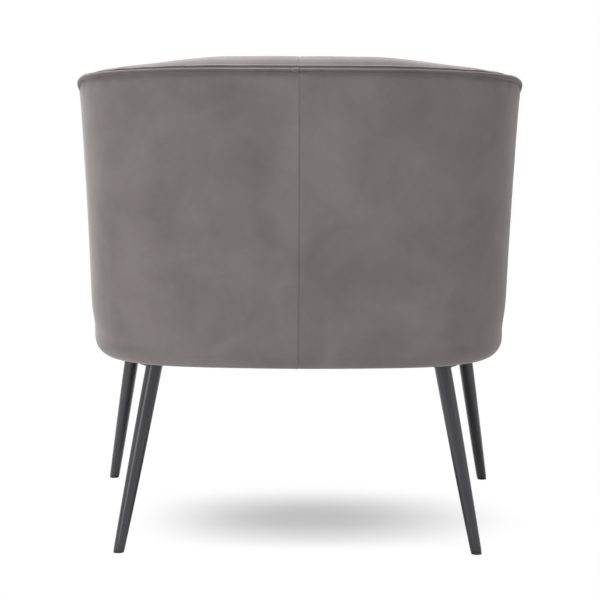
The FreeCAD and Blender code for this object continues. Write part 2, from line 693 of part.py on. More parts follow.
# Seat: a crowned foam block and its cover, in the shape that the padding leaves
def seat_wire(height, inset, draw=0.0):
    """Plan outline of the seat at a height, in from the padding, drawn to its middle by a share."""
    middle_y = (seat_front_y + back_rail_y) / 2

    def drawn(place):
        return Vector(place.x * (1 - draw), middle_y + (place.y - middle_y) * (1 - draw), height)

    def edge(run):
        station = Station(run)
        out, up = station.inside(0, height)
        return station.point((out - S.seat_gap - inset, height))

    side_x = edge(rim_run).x
    centre = Vector(side_x - S.seat_front_radius, seat_front_y + inset + S.seat_front_radius, height)
    diagonal = math.sqrt(1 / 2)
    quarter = (Vector(1, 0, 0), Vector(diagonal, -diagonal, 0), Vector(0, -1, 0))
    runs = [bow_run * share for share in (0, 1 / 2, 1)]
    runs += [bow_run + corner_run * share for share in (1 / 4, 1 / 2, 3 / 4, 1)]
    left = [drawn(edge(run)) for run in runs]
    left += [drawn(centre + way * S.seat_front_radius) for way in quarter]
    right = [Vector(-at.x, at.y, at.z) for at in left]
    edges = []
    for spots in (left, right):
        edges += [Part.Arc(*spots[first:first + 3]) for first in (0, 2, 4)]
        edges += [Part.LineSegment(spots[6], spots[7]), Part.Arc(*spots[7:])]
    edges.append(Part.LineSegment(left[-1], right[-1]))
    return Part.Wire(Part.sortEdges([item.toShape() for item in edges])[0])


def seat_solid(depth):
    """Crowned block at a depth inside the cover's face: upright sides, then a superellipse."""
    shoulder = seat_bottom + S.seat_side
    wires = [seat_wire(seat_bottom, depth + S.seat_tuck), seat_wire((seat_bottom + shoulder) / 2, depth)]
    for step in range(SEAT_CROWN_STEPS + 1):
        share = (step / SEAT_CROWN_STEPS) ** 2
        rise = (1 - (1 - share) ** SEAT_CROWN_POWER) ** (1 / SEAT_CROWN_POWER)
        wires.append(seat_wire(shoulder + S.seat_crown * rise - depth, depth, share * SEAT_CROWN_SHARE))
    return Part.makeLoft(wires, True, True)


keep("seat_cover", seat_solid(0).cut(seat_solid(S.cloth)))
keep("seat_foam", seat_solid(S.cloth + S.fit))
keep("spring_felt", Part.Face(seat_wire(felt_bottom, S.felt_inset)).extrude(UP * S.felt))


# Zigzag springs from the front rail to the back rail, and their clips
spring_front_y = rail_front_y + (S.rail_thickness - S.clip_length) / 2
spring_back_y = back_rail_y + (S.rail_thickness + S.clip_length) / 2


def zigzag(middle_x):
    """Spring wire: straight tails, quarter bends, and cross runs joined by half bends."""
    start_y = spring_front_y + S.spring_tail
    end_y = spring_back_y - S.spring_tail
    bend = (end_y - start_y) / (2 * (SPRING_BENDS + 1))

    def spot(across, along):
        return Vector(middle_x + across, along, spring_height)

    slant = bend * math.sin(math.pi / 4)
    edges = [Part.LineSegment(spot(0, spring_front_y), spot(0, start_y)).toShape(),
             Part.Arc(spot(0, start_y), spot(bend - slant, start_y + slant),
                      spot(bend, start_y + bend)).toShape()]
    here, along, hand = bend, start_y + bend, 1
    for number in range(SPRING_BENDS):
        there = hand * S.spring_half_width
        edges.append(Part.LineSegment(spot(here, along), spot(there, along)).toShape())
        edges.append(Part.Arc(spot(there, along), spot(there + hand * bend, along + bend),
                              spot(there, along + 2 * bend)).toShape())
        here, along, hand = there, along + 2 * bend, -hand
    there = -hand * bend
    edges.append(Part.LineSegment(spot(here, along), spot(there, along)).toShape())
    edges.append(Part.Arc(spot(there, along), spot(there + hand * slant, along + bend - slant),
                          spot(0, along + bend)).toShape())
    edges.append(Part.LineSegment(spot(0, end_y), spot(0, spring_back_y)).toShape())
    path = Part.Wire(edges)
    profile = Part.Wire([Part.makeCircle(S.spring_wire / 2, spot(0, spring_front_y), Vector(0, 1, 0))])
    return path.makePipeShell([profile], True, False)


def clip(middle_x, front_y):
    """Pressed steel clip over a spring's tail, closed on its rail."""
    height = spring_height + S.spring_wire / 2 + S.fit + S.clip_sheet - S.rail_top
    slot = S.spring_wire + 2 * S.fit
    outer = Part.makeBox(S.clip_width, S.clip_length, height,
                         Vector(middle_x - S.clip_width / 2, front_y, S.rail_top))
    inner = Part.makeBox(slot, S.clip_length + 2 * S.overrun, height - S.clip_sheet,
                         Vector(middle_x - slot / 2, front_y - S.overrun, S.rail_top))
    return outer.cut(inner)


clips = []
spring_pitch = 2 * (back_rail_half - S.spring_edge) / (SPRINGS - 1)
for number in range(SPRINGS):
    middle_x = (number - (SPRINGS - 1) / 2) * spring_pitch
    keep(f"seat_spring_{number + 1}", zigzag(middle_x))
    clips += [clip(middle_x, spring_front_y), clip(middle_x, spring_back_y - S.clip_length)]
keep("spring_clips", Part.makeCompound(clips))

# Front border under the seat: wadding and cover
border_top = seat_bottom - S.fit
slant = S.border_rounding * math.cos(math.pi / 4)
inner_slant = (S.border_rounding - S.cloth) * math.cos(math.pi / 4)
flap_y = border_middle_y + S.turn_under
inner_y = front_face_y + S.cloth
keep("front_border_cover", crosswise(
    front_rail_half, (front_face_y, border_top), (front_face_y, border_middle_up),
    ((border_middle_y - slant, border_middle_up - slant), (border_middle_y, S.body_bottom)),
    (flap_y, S.body_bottom), (flap_y, S.body_bottom + S.cloth), (border_middle_y, S.body_bottom + S.cloth),
    ((border_middle_y - inner_slant, border_middle_up - inner_slant), (inner_y, border_middle_up)),
    (inner_y, border_top)))
pad_y = inner_y + S.fit
keep("front_border_wadding", crosswise(
    front_rail_half, (pad_y, border_middle_up), (pad_y, S.rail_top),
    (pad_y + S.border_pad, S.rail_top), (pad_y + S.border_pad, border_middle_up)))

# Dust cover over the underside, and its staples
dust_front_y = border_middle_y + S.dust_inset
dust_end_run = rim_run - (dust_front_y - S.arm_front_y) / math.cos(side_angle)


def dust_wire(height, inset):
    """Plan outline of the dust cover, drawn in from the end of the rounding."""
    def edge(run):
        station = Station(run)
        return station.point((station.under_out - inset, height))

    runs = (0, bow_run, bow_run + corner_run / 2, corner_end, dust_end_run)
    back, hip, turn, side, front = (edge(run) for run in runs)
    front.y = dust_front_y + inset - S.dust_inset
    others = [Vector(-place.x, place.y, place.z) for place in (hip, turn, side, front)]
    edges = [Part.Arc(others[0], back, hip).toShape(), Part.Arc(hip, turn, side).toShape(),
             Part.LineSegment(side, front).toShape(), Part.LineSegment(front, others[3]).toShape(),
             Part.LineSegment(others[3], others[2]).toShape(),
             Part.Arc(others[2], others[1], others[0]).toShape()]
    return Part.Wire(edges)


plate_cuts = [Part.makeCylinder(S.plate_diameter / 2 + S.plate_play, S.dust_cloth + 2 * S.overrun,
                                foot + lean - UP * S.overrun) for foot, lean in LEGS.values()]
keep("dust_cover", Part.Face(dust_wire(dust_bottom, S.dust_inset)).extrude(UP * S.dust_cloth).cut(plate_cuts))


def staples():
    """Crowns of the staples round the dust cover, clear of the leg plates."""
    line = dust_wire(dust_bottom, S.dust_inset + S.staple_inset)
    count = int(line.Length / S.staple_pitch)
    spots = line.discretize(Number=count + 1)
    clear = S.plate_diameter / 2 + S.staple_crown
    plates = [foot + lean for foot, lean in LEGS.values()]
    crowns = []
    for here, there in zip(spots, spots[1:]):
        middle = (here + there) * (1 / 2)
        if all(math.hypot(middle.x - plate.x, middle.y - plate.y) > clear for plate in plates):
            heading = (there - here).normalize()
            crown = Part.makeBox(S.staple_crown, S.staple_wire, S.staple_flat,
                                 Vector(-S.staple_crown / 2, -S.staple_wire / 2, -S.staple_flat))
            crown.Placement = Placement(middle, Rotation(Vector(1, 0, 0), heading))
            crowns.append(crown)
    return Part.makeCompound(crowns)


keep("dust_cover_staples", staples())


# Legs: tapered steel tube welded to a round plate, with a plastic glide in its foot
def leaning_cone(foot, lean, wall):
    """Taper along a leg's axis, this far inside its face, past both ends."""
    length = lean.Length
    heading = Vector(lean).normalize()
    growth = (S.leg_diameter - S.foot_diameter) / 2 / length
    low = S.foot_diameter / 2 - wall - growth * S.overrun
    high = S.leg_diameter / 2 - wall + growth * S.overrun
    return Part.makeCone(low, high, length + 2 * S.overrun, foot - heading * S.overrun, heading)


def slab(foot, lean, low, high):
    """Block between two levels, wide enough for the whole leg."""
    middle = foot + lean * (1 / 2)
    reach = 2 * (lean.x ** 2 + lean.y ** 2) ** (1 / 2) + S.leg_diameter
    return Part.makeBox(2 * reach, 2 * reach, high - low, Vector(middle.x - reach, middle.y - reach, low))


screws = []
for name, (foot, lean) in LEGS.items():
    outside = leaning_cone(foot, lean, 0)
    bore = leaning_cone(foot, lean, S.leg_wall)
    leg_tube = outside.cut(bore).common(slab(foot, lean, S.glide_height, plate_bottom))
    plate = Part.makeCylinder(S.plate_diameter / 2, S.plate_thickness, foot + lean)
    keep(f"leg_{name}", screw_holes(leg_tube.fuse(plate)))
    disc = outside.common(slab(foot, lean, 0, S.glide_height))
    plug = leaning_cone(foot, lean, S.leg_wall + S.fit)
    plug = plug.common(slab(foot, lean, S.glide_height, S.glide_height + S.plug_height))
    keep(f"glide_{name}", disc.fuse(plug))
for place in screw_places():
    head = Part.makeCylinder(S.screw_head / 2, S.screw_head_height,
                             Vector(place.x, place.y, plate_bottom - S.screw_head_height))
    shank = Part.makeCylinder(S.screw_diameter / 2, S.screw_length, Vector(place.x, place.y, plate_bottom))
    screws.append(head.fuse(shank))
keep("leg_screws", Part.makeCompound(screws))

# Check and write every sub-part
doc.recompute()
for item in doc.Objects:
    if "Invalid" in item.State or "Error" in item.State:
        raise SystemExit(f"{item.Label} failed: {item.State}")
os.makedirs("parts", exist_ok=True)
for piece in pieces:
    if piece.Shape.isNull() or not piece.Shape.isValid() or piece.Shape.Volume <= 0:
        raise SystemExit(f"{piece.Label} has no sound shape")
    piece.Shape.exportStep(os.path.join("parts", f"{piece.Label}.step"))
print(len(pieces), "sub-parts written")
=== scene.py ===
"""Velvet tub chair on four splayed legs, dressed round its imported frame."""
import json
import logging
import math
from collections.abc import Callable, Sequence
from dataclasses import dataclass
from enum import Enum

import bmesh
import bpy
import numpy as np
from bpy.types import ID, Material, Node, NodeSocket, NodeTree, Object
from mathutils import Matrix, Vector, noise


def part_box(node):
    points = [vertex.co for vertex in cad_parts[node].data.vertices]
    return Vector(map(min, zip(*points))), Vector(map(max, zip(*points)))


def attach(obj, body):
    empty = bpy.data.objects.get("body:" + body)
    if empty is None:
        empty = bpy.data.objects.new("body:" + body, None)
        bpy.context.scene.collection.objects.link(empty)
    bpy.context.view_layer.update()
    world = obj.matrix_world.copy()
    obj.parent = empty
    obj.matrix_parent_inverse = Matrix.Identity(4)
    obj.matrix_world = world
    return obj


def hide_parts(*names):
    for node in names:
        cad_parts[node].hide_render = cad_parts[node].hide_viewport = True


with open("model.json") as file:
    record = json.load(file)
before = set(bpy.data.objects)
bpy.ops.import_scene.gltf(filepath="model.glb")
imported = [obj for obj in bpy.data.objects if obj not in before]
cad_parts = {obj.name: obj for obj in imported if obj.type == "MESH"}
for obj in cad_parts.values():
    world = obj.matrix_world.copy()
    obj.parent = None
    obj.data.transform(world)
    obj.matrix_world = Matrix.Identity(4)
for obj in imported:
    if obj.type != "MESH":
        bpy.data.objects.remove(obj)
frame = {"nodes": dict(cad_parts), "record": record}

LOG = logging.getLogger("tub_chair")
MM = 0.001
BODY = "root"
Pair = tuple[float, float]
SIDES = {"left": 1, "right": -1}
UP = Vector((0, 0, 1))
TINY = 1e-12
# The wave texture draws one band in about 0.3 of its scale's length
BAND_SCALE = 0.3
CLOTH_CREASE_DEGREES = 60


# Small helpers
def srgb(code: str) -> tuple[float, float, float, float]:
    """Turns an sRGB hex code into a linear colour with alpha 1.

    Args:
        code: The colour as "#rrggbb".

    Returns:
        Red, green, blue and alpha, linear.
    """
    parts = [int(code[at:at + 2], 16) / 255 for at in (1, 3, 5)]
    linear = [part / 12.92 if part <= 0.04045 else ((part + 0.055) / 1.055) ** 2.4 for part in parts]
    return (*linear, 1.0)


def connect(tree: NodeTree, node: Node, inputs: dict) -> None:
    """Sets a node's inputs to values, or links them to output sockets or to nodes' first outputs.

    Args:
        tree: The node tree.
        node: The node.
        inputs: Values, by the input's name or number.
    """
    for socket, value in inputs.items():
        value = value.outputs[0] if isinstance(value, Node) else value
        if isinstance(value, NodeSocket):
            tree.links.new(value, node.inputs[socket])
        else:
            node.inputs[socket].default_value = value


def add(tree: NodeTree, kind: str, inputs: dict | None = None, **settings: object) -> Node:
    """Adds one node with its settings, values and links.

    Args:
        tree: The node tree.
        kind: The node's type name.
        inputs: Values, output sockets or nodes, by the input's name or number.
        **settings: The node's own properties.

    Returns:
        The new node.
    """
    node = tree.nodes.new(kind)
    for name, value in settings.items():
        setattr(node, name, value)
    connect(tree, node, inputs or {})
    return node


def between(sizes: Sequence[float], share: float, shares: Sequence[float]) -> float:
    """Smooth step from one size to another while a share goes through a range."""
    first, last = sizes
    share = min(max((share - shares[0]) / (shares[1] - shares[0]), 0.0), 1.0)
    return first + (last - first) * share * share * (3 - 2 * share)


def eased(share: float) -> float:
    """Share that moves slowly near 0 and near 1."""
    return 0.5 - 0.5 * math.cos(math.pi * share)


def round_ways(count: int) -> list[Vector]:
    """Level unit vectors, evenly spaced round a turn."""
    turns = (2 * math.pi * at / count for at in range(count))
    return [Vector((math.cos(turn), math.sin(turn), 0)) for turn in turns]


def ring_faces(total: int, count: int) -> list[tuple[int, ...]]:
    """Faces between rings of count vertices that lie one after the other, of a total of vertices.

    Args:
        total: How many vertices there are.
        count: How many of them a ring has.

    Returns:
        The faces.
    """
    faces = []
    for first in range(0, total - count, count):
        faces += [(first + at, first + (at + 1) % count, first + count + (at + 1) % count, first + count + at)
                  for at in range(count)]
    return faces


def closed_faces(total: int, count: int) -> list[tuple[int, ...]]:
    """The same with the first and the last ring closed."""
    return ring_faces(total, count) + [tuple(range(count - 1, -1, -1)), tuple(range(total - count, total))]


def evenly(places: list[Vector], count: int = 0, pitch: float = 1.0) -> list[Vector]:
    """Closed line with evenly spaced places: so many, or about a pitch apart.

    Args:
        places: The line's places.
        count: How many are wanted.
        pitch: Distance between them, where no count is given.

    Returns:
        The new places.
    """
    loop = np.array([tuple(place) for place in places + places[:1]])
    steps = np.concatenate([[0], np.cumsum(np.linalg.norm(np.diff(loop, axis=0), axis=1))])
    marks = np.linspace(0, steps[-1], count or int(steps[-1] / pitch), endpoint=False)
    return [Vector([np.interp(mark, steps, loop[:, axis]) for axis in range(3)]) for mark in marks]


def bell(distance: np.ndarray, reach: float) -> np.ndarray:
    """Soft hump: 1 at distance 0, nearly 0 beyond twice the reach."""
    return np.exp(-(distance / reach) ** 2)


def ripple(points: np.ndarray, scale: Sequence[float], seed: float) -> np.ndarray:
    """Perlin noise at an array of points.

    Args:
        points: Places, with x, y and z last.
        scale: Waves to the metre along x, y and z.
        seed: Offset that picks another pattern.

    Returns:
        Values from about -1 to 1, one for each place.
    """
    flat = (points.reshape(-1, 3) * np.array(scale)) + seed
    values = [noise.noise(Vector(place)) for place in flat]
    return np.array(values).reshape(points.shape[:-1])


def new_object(name: str, data: ID) -> Object:
    """Makes an object of its data and links it to the scene."""
    piece = bpy.data.objects.new(name, data)
    bpy.context.scene.collection.objects.link(piece)
    return piece


def mesh_object(name: str, verts: Sequence, faces: Sequence,
                material: Material) -> Object:
    """Makes a smooth-shaded object from vertices and faces.

    Args:
        name: The piece's name.
        verts: Places of the vertices.
        faces: Vertex numbers of each face, seen anticlockwise from outside.
        material: The finish.

    Returns:
        The object, at the origin.
    """
    mesh = bpy.data.meshes.new(name)
    places = [tuple(map(float, place)) for place in verts]
    mesh.from_pydata(places, [], [tuple(map(int, face)) for face in faces])
    mesh.materials.append(material)
    mesh.polygons.foreach_set("use_smooth", [True] * len(mesh.polygons))
    mesh.update()
    return new_object(name, mesh)


def line_object(name: str, places: Sequence[Vector], edges: Sequence[tuple[int, int]]) -> Object:
    """Makes an object of places and edges, for a geometry tree to grow on."""
    mesh = bpy.data.meshes.new(name)
    mesh.from_pydata([tuple(place) for place in places], edges, [])
    return new_object(name, mesh)


def plain(piece: Object) -> Object:
    """Turns an object's modifiers into a plain mesh of its own.

    Args:
        piece: The object.

    Returns:
        The same object.
    """
    graph = bpy.context.evaluated_depsgraph_get()
    mesh = bpy.data.meshes.new_from_object(piece.evaluated_get(graph))
    piece.modifiers.clear()
    piece.data = mesh
    mesh.polygons.foreach_set("use_smooth", [True] * len(mesh.polygons))
    return piece


def thicken(piece: Object, thickness: float) -> Object:
    """Gives a surface its thickness, inwards, as a plain mesh.

    Args:
        piece: The surface.
        thickness: In metres.

    Returns:
        The same object.
    """
    solid = piece.modifiers.new("thickness", "SOLIDIFY")
    solid.thickness = thickness
    solid.offset = -1
    return plain(piece)


def fitted(piece: Object, slot: str, *nodes: str) -> Object:
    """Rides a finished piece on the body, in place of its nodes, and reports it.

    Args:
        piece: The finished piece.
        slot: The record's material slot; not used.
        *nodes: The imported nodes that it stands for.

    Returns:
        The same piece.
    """
    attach(piece, BODY)
    if nodes:
        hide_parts(*nodes)
    LOG.info("%s: %d faces", piece.name, len(piece.data.polygons))
    return piece


# Form of the shell
@dataclass
class ShellForm:
    """Sizes of the padded shell, in metres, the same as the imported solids'.

    A run is a distance round the rim line from the middle of the back.
    """

    rim_back_y: float = 0.337
    rim_back_radius: float = 1.0
    rim_corner_radius: float = 0.190
    rim_half_width: float = 0.361
    side_splay: float = 0.0064
    arm_front_y: float = -0.325
    rim_height: float = 0.777
    arm_drop: float = 0.100
    corner_drop: float = 0.030
    level_run: float = 0.130
    drop_shares: Pair = (1.35, 0.35)
    corner_drop_shares: Pair = (0.41, 0.69)
    crest_rise: Pair = (0.020, 0.012)
    rise_shares: Pair = (0.12, 0.28)
    crest_setback: float = 0.041
    body_bottom: float = 0.3045
    leans: tuple[float, float, float] = (0.037, 0.019, 0.014)
    lean_share: float = 0.11
    unders: tuple[float, float, float] = (0.022, 0.042, 0.026)
    under_shares: Pair = (0.16, 0.37)
    walls: Pair = (0.095, 0.082)
    wall_shares: Pair = (0.10, 0.50)
    slopes: Pair = (0.123, 0.035)
    cloth: float = 0.0018
    fit: float = 0.0003
    piping_radius: float = 0.003
    turn_under: float = 0.051
    seat_bottom: float = 0.3913
    seat_side: float = 0.048
    seat_crown: float = 0.024
    seat_front_y: float = -0.337
    seat_front_radius: float = 0.026
    seat_gap: float = 0.0012

    def __post_init__(self) -> None:
        """Works out the arcs of the rim line."""
        self.corner_x = self.rim_half_width - self.rim_corner_radius
        reach = self.rim_back_radius - self.rim_corner_radius
        self.bow_angle = math.asin(self.corner_x / reach)
        self.bow_y = self.rim_back_y - self.rim_back_radius
        self.corner_y = self.bow_y + reach * math.cos(self.bow_angle)
        self.side_angle = math.atan2(self.side_splay, self.corner_y - self.arm_front_y)
        self.bow_run = self.rim_back_radius * self.bow_angle
        self.corner_run = self.rim_corner_radius * (math.pi / 2 - self.side_angle - self.bow_angle)
        self.corner_end = self.bow_run + self.corner_run
        self.side_start = Vector((self.corner_x + self.rim_corner_radius * math.cos(self.side_angle),
                                  self.corner_y + self.rim_corner_radius * math.sin(self.side_angle), 0))
        self.rim_run = self.corner_end + (self.side_start.y - self.arm_front_y) / math.cos(self.side_angle)


class Section:
    """Upright section of the shell, square to the rim line, at a run.

    Places in it are pairs: how far out from the rim line, and the height.
    """

    def __init__(self, form: ShellForm, run: float, hand: int = 1) -> None:
        """Works out the section.

        Args:
            form: The shell's sizes.
            run: Distance round the rim line from the middle of the back.
            hand: 1 on the sitter's left, -1 on the right.
        """
        if run <= form.bow_run:
            turn = run / form.rim_back_radius
            place, reach = Vector((0, form.bow_y, 0)), form.rim_back_radius
        elif run <= form.corner_end:
            turn = form.bow_angle + (run - form.bow_run) / form.rim_corner_radius
            place, reach = Vector((form.corner_x, form.corner_y, 0)), form.rim_corner_radius
        else:
            turn, reach = math.pi / 2 - form.side_angle, 0.0
            ahead = Vector((math.sin(form.side_angle), -math.cos(form.side_angle), 0))
            place = form.side_start + ahead * (run - form.corner_end)
        normal = Vector((math.sin(turn), math.cos(turn), 0))
        place = place + normal * reach
        self.form = form
        self.base = Vector((hand * place.x, place.y, 0))
        self.normal = Vector((hand * normal.x, normal.y, 0))
        self.forward = Vector((hand * normal.y, -normal.x, 0))
        share = run / form.rim_run
        fall = max(run - form.level_run, 0) / (form.rim_run - form.level_run)
        early, late = form.drop_shares
        self.rim = form.rim_height - form.arm_drop * fall ** 2 * (early - late * fall)
        self.rim -= between((0, form.corner_drop), share, form.corner_drop_shares)
        self.crest = self.rim + between(form.crest_rise, share, form.rise_shares)
        turned = form.corner_end / form.rim_run
        back, side, front = form.leans
        self.lean = between((back, side), share, (form.lean_share, turned))
        self.lean -= between((0, side - front), share, (turned, 1))
        back, corner, front = form.unders
        end = form.under_shares[1]
        self.under = between((back, corner), share, form.under_shares)
        self.under -= between((0, corner - front), share, (end, 1))
        self.wall = between(form.walls, share, form.wall_shares)
        self.slope = between(form.slopes, share, form.wall_shares)
        self.wall_top = self.rim - form.piping_radius - form.fit
        self.tilt = math.atan2(self.lean, self.wall_top - form.body_bottom - self.under)
        self.under_out = -self.lean - self.under * math.cos(self.tilt)
        self.under_up = form.body_bottom + self.under
        height = self.crest - self.wall_top
        width = form.crest_setback - form.piping_radius - form.fit
        self.outer_roll = (width ** 2 + height ** 2) / (2 * height)
        self.outer_turn = math.asin(width / self.outer_roll)
        self.inner_roll = self.wall - form.crest_setback
        self.inner_turn = math.pi / 2 - math.atan(self.slope)

    def point(self, out: float, up: float) -> Vector:
        """Place in the section as a point in space."""
        return self.base + self.normal * out + UP * up

    def under_at(self, angle: float, depth: float = 0.0) -> Pair:
        """Point of the rounding under the wall, at an angle below level."""
        reach = self.under - depth
        return (self.under_out + reach * math.cos(angle), self.under_up - reach * math.sin(angle))

    def wall_at(self, share: float) -> Pair:
        """Point of the outside wall: share 0 under the piping, 1 at its foot."""
        out, up = self.under_at(self.tilt)
        return (out * share, self.wall_top + (up - self.wall_top) * share)

    def outer_arc(self, share: float) -> Pair:
        """Point on the roll: share 0 at the piping, 1 at the crest."""
        turn = self.outer_turn * (1 - share)
        return (-self.form.crest_setback + self.outer_roll * math.sin(turn),
                self.crest - self.outer_roll + self.outer_roll * math.cos(turn))

    def inner_arc(self, share: float) -> Pair:
        """Point on the roll: share 0 at the crest, 1 on the inside face."""
        turn = self.inner_turn * share
        return (-self.form.crest_setback - self.inner_roll * math.sin(turn),
                self.crest - self.inner_roll + self.inner_roll * math.cos(turn))

    def inside(self, height: float) -> Pair:
        """Point on the inside face at a height."""
        out, up = self.inner_arc(1)
        return (out - (up - height) * self.slope, height)


@dataclass
class ClothGrid:
    """Cover laid out as a grid of points: runs one way, its profile the other."""

    points: np.ndarray
    flip: bool

    def normals(self) -> np.ndarray:
        """Unit vectors out of the cover at each of its points."""
        along = np.gradient(self.points, axis=0)
        down = np.gradient(self.points, axis=1)
        way = np.cross(down, along)
        way /= np.linalg.norm(way, axis=2, keepdims=True)
        return -way if self.flip else way

    def push(self, amount: np.ndarray) -> None:
        """Moves each point out of the cover by its amount."""
        self.points = self.points + self.normals() * amount[..., None]

    def build(self, name: str, material: Material, thickness: float) -> Object:
        """Makes the cover, with its thickness inwards.

        Args:
            name: The piece's name.
            material: The finish.
            thickness: Of the cloth, in metres.

        Returns:
            The finished cover.
        """
        runs, rows = self.points.shape[:2]
        number = np.arange(runs * rows).reshape(runs, rows)
        corners = [number[:-1, :-1], number[:-1, 1:], number[1:, 1:], number[1:, :-1]]
        if self.flip:
            corners.reverse()
        faces = np.stack([corner.ravel() for corner in corners], axis=1)
        piece = mesh_object(name, self.points.reshape(-1, 3), faces, material)
        thicken(piece, thickness).data.set_sharp_from_angle(angle=math.radians(CLOTH_CREASE_DEGREES))
        return piece


def spaced(start: float, end: float, step: float, fine: Sequence[float]) -> list[float]:
    """Places from start to end, closer together near both ends.

    Args:
        start: First place.
        end: Last place.
        step: Spacing in the middle.
        fine: Distances of the close places from each end.

    Returns:
        The places, in order.
    """
    inner_start, inner_end = start + fine[-1], end - fine[-1]
    count = max(round((inner_end - inner_start) / step), 1)
    middle = [inner_start + (inner_end - inner_start) * number / count for number in range(1, count)]
    return [start] + [start + at for at in fine] + middle + [end - at for at in reversed(fine)] + [end]


FINE_RUNS = (0.7 * MM, 1.5 * MM, 2.5 * MM, 4 * MM, 6 * MM, 8.5 * MM, 12 * MM, 16 * MM)


# Finishes
def new_finish(name: str) -> tuple[Material, NodeTree, NodeSocket]:
    """Starts a finish.

    Args:
        name: The finish's name.

    Returns:
        The material, its tree, and the place on the piece as a socket.
    """
    material = bpy.data.materials.new(name)
    material.use_nodes = True
    tree = material.node_tree
    return material, tree, add(tree, "ShaderNodeTexCoord").outputs["Object"]


def close_finish(tree: NodeTree, shades: tuple[str, str],
                 factor: Node | NodeSocket,
                 relief: tuple[Node, float, float] | None, inputs: dict) -> None:
    """Ends a finish with its two shades, its relief and its surface.

    Args:
        tree: The finish's tree.
        shades: Colours where the factor is 0 and where it is 1.
        factor: The pattern between them.
        relief: Height, strength and depth in metres.
        inputs: More inputs of the surface shader.
    """
    colour = add(tree, "ShaderNodeMix", {
        "Factor": factor, "A": srgb(shades[0]), "B": srgb(shades[1])}, data_type="RGBA")
    surface = tree.nodes["Principled BSDF"]
    connect(tree, surface, {"Base Color": colour.outputs[2], **inputs})
    if relief:
        height, strength, depth = relief
        bump = add(tree, "ShaderNodeBump", {"Height": height, "Strength": strength, "Distance": depth})
        connect(tree, surface, {"Normal": bump})


@dataclass(frozen=True)
class Velvet:
    """Upholstery velvet: a short cut pile that scatters light at grazing angles."""

    name: str = "taupe_velvet"
    shade: str = "#696363"
    light: str = "#7a7472"
    sheen: str = "#d6d1cf"
    patch_mm: float = 105.0
    brush_mm: float = 24.0
    pile_mm: float = 1.3
    weights: tuple[float, float, float] = (1.5, 0.4, 0.45)
    lay_range: Pair = (0.80, 1.60)
    brush_relief: float = 1.0 * MM
    pile_relief: float = 0.35 * MM

    def material(self) -> Material:
        """Builds the finish: brushed patches, a fine pile and a sheen."""
        # To the eye: soft brushed patches, and a pale bloom where the cloth turns away
        material, tree, place = new_finish(self.name)
        # The pile lies a little differently wherever a hand has passed over it
        patches = add(tree, "ShaderNodeTexNoise", {
            "Vector": place, "Scale": 1 / (self.patch_mm * MM), "Detail": 2.5, "Roughness": 0.55,
            "Distortion": 0.5})
        brush = add(tree, "ShaderNodeTexNoise", {
            "Vector": place, "Scale": 1 / (self.brush_mm * MM), "Detail": 3.0, "Roughness": 0.6,
            "Distortion": 0.9})
        # Real pile is about 0.3 mm apart; it is drawn at 1.3 mm so that it shows
        pile = add(tree, "ShaderNodeTexNoise", {
            "Vector": place, "Scale": 1 / (self.pile_mm * MM), "Detail": 2.0, "Roughness": 0.7})
        lay = 0.0
        for layer, weight in zip((patches, brush, pile), self.weights):
            lay = add(tree, "ShaderNodeMath", {0: layer, 1: weight, 2: lay}, operation="MULTIPLY_ADD")
        low, high = self.lay_range
        share = add(tree, "ShaderNodeMapRange", {"Value": lay, "From Min": low, "From Max": high})
        soft = add(tree, "ShaderNodeBump", {
            "Height": brush, "Strength": 0.25, "Distance": self.brush_relief})
        fine = add(tree, "ShaderNodeBump", {
            "Height": pile, "Strength": 0.35, "Distance": self.pile_relief, "Normal": soft})
        close_finish(tree, (self.shade, self.light), share, None, {
            "Normal": fine, "Roughness": 0.92, "Specular IOR Level": 0.15, "Sheen Weight": 0.55,
            "Sheen Roughness": 0.38, "Sheen Tint": srgb(self.sheen)})
        return material


@dataclass(frozen=True)
class PowderCoat:
    """Satin powder coat on steel tube: even, with a faint orange peel."""

    dark: str = "#29282c"
    light: str = "#302f33"
    peel_mm: float = 1.6
    peel_relief: float = 0.05 * MM
    handling_mm: float = 71.43
    roughness: Pair = (0.17, 0.25)

    def material(self) -> Material:
        """Builds the finish: a fine peel, and a gloss that handling has changed a little."""
        # To the eye: charcoal tube with one narrow satin highlight down each side
        material, tree, place = new_finish("black_powder_coat")
        peel = add(tree, "ShaderNodeTexNoise", {
            "Vector": place, "Detail": 1.0, "Scale": 1 / (self.peel_mm * MM)})
        handling = add(tree, "ShaderNodeTexNoise", {
            "Vector": place, "Scale": 1 / (self.handling_mm * MM), "Detail": 3.0})
        low, high = self.roughness
        rough = add(tree, "ShaderNodeMapRange", {"Value": handling, "To Min": low, "To Max": high})
        close_finish(tree, (self.dark, self.light), handling, (peel, 0.25, self.peel_relief), {
            "Roughness": rough})
        return material


class Timber(Enum):
    """Woods of the hidden frame: name, dark and light grain, ring spacing in mm."""

    BEECH = ("planed_beech", "#a87f55", "#c39c6e", 7.0)
    PLYWOOD = ("birch_plywood", "#b08a5c", "#cfae80", 3.0)


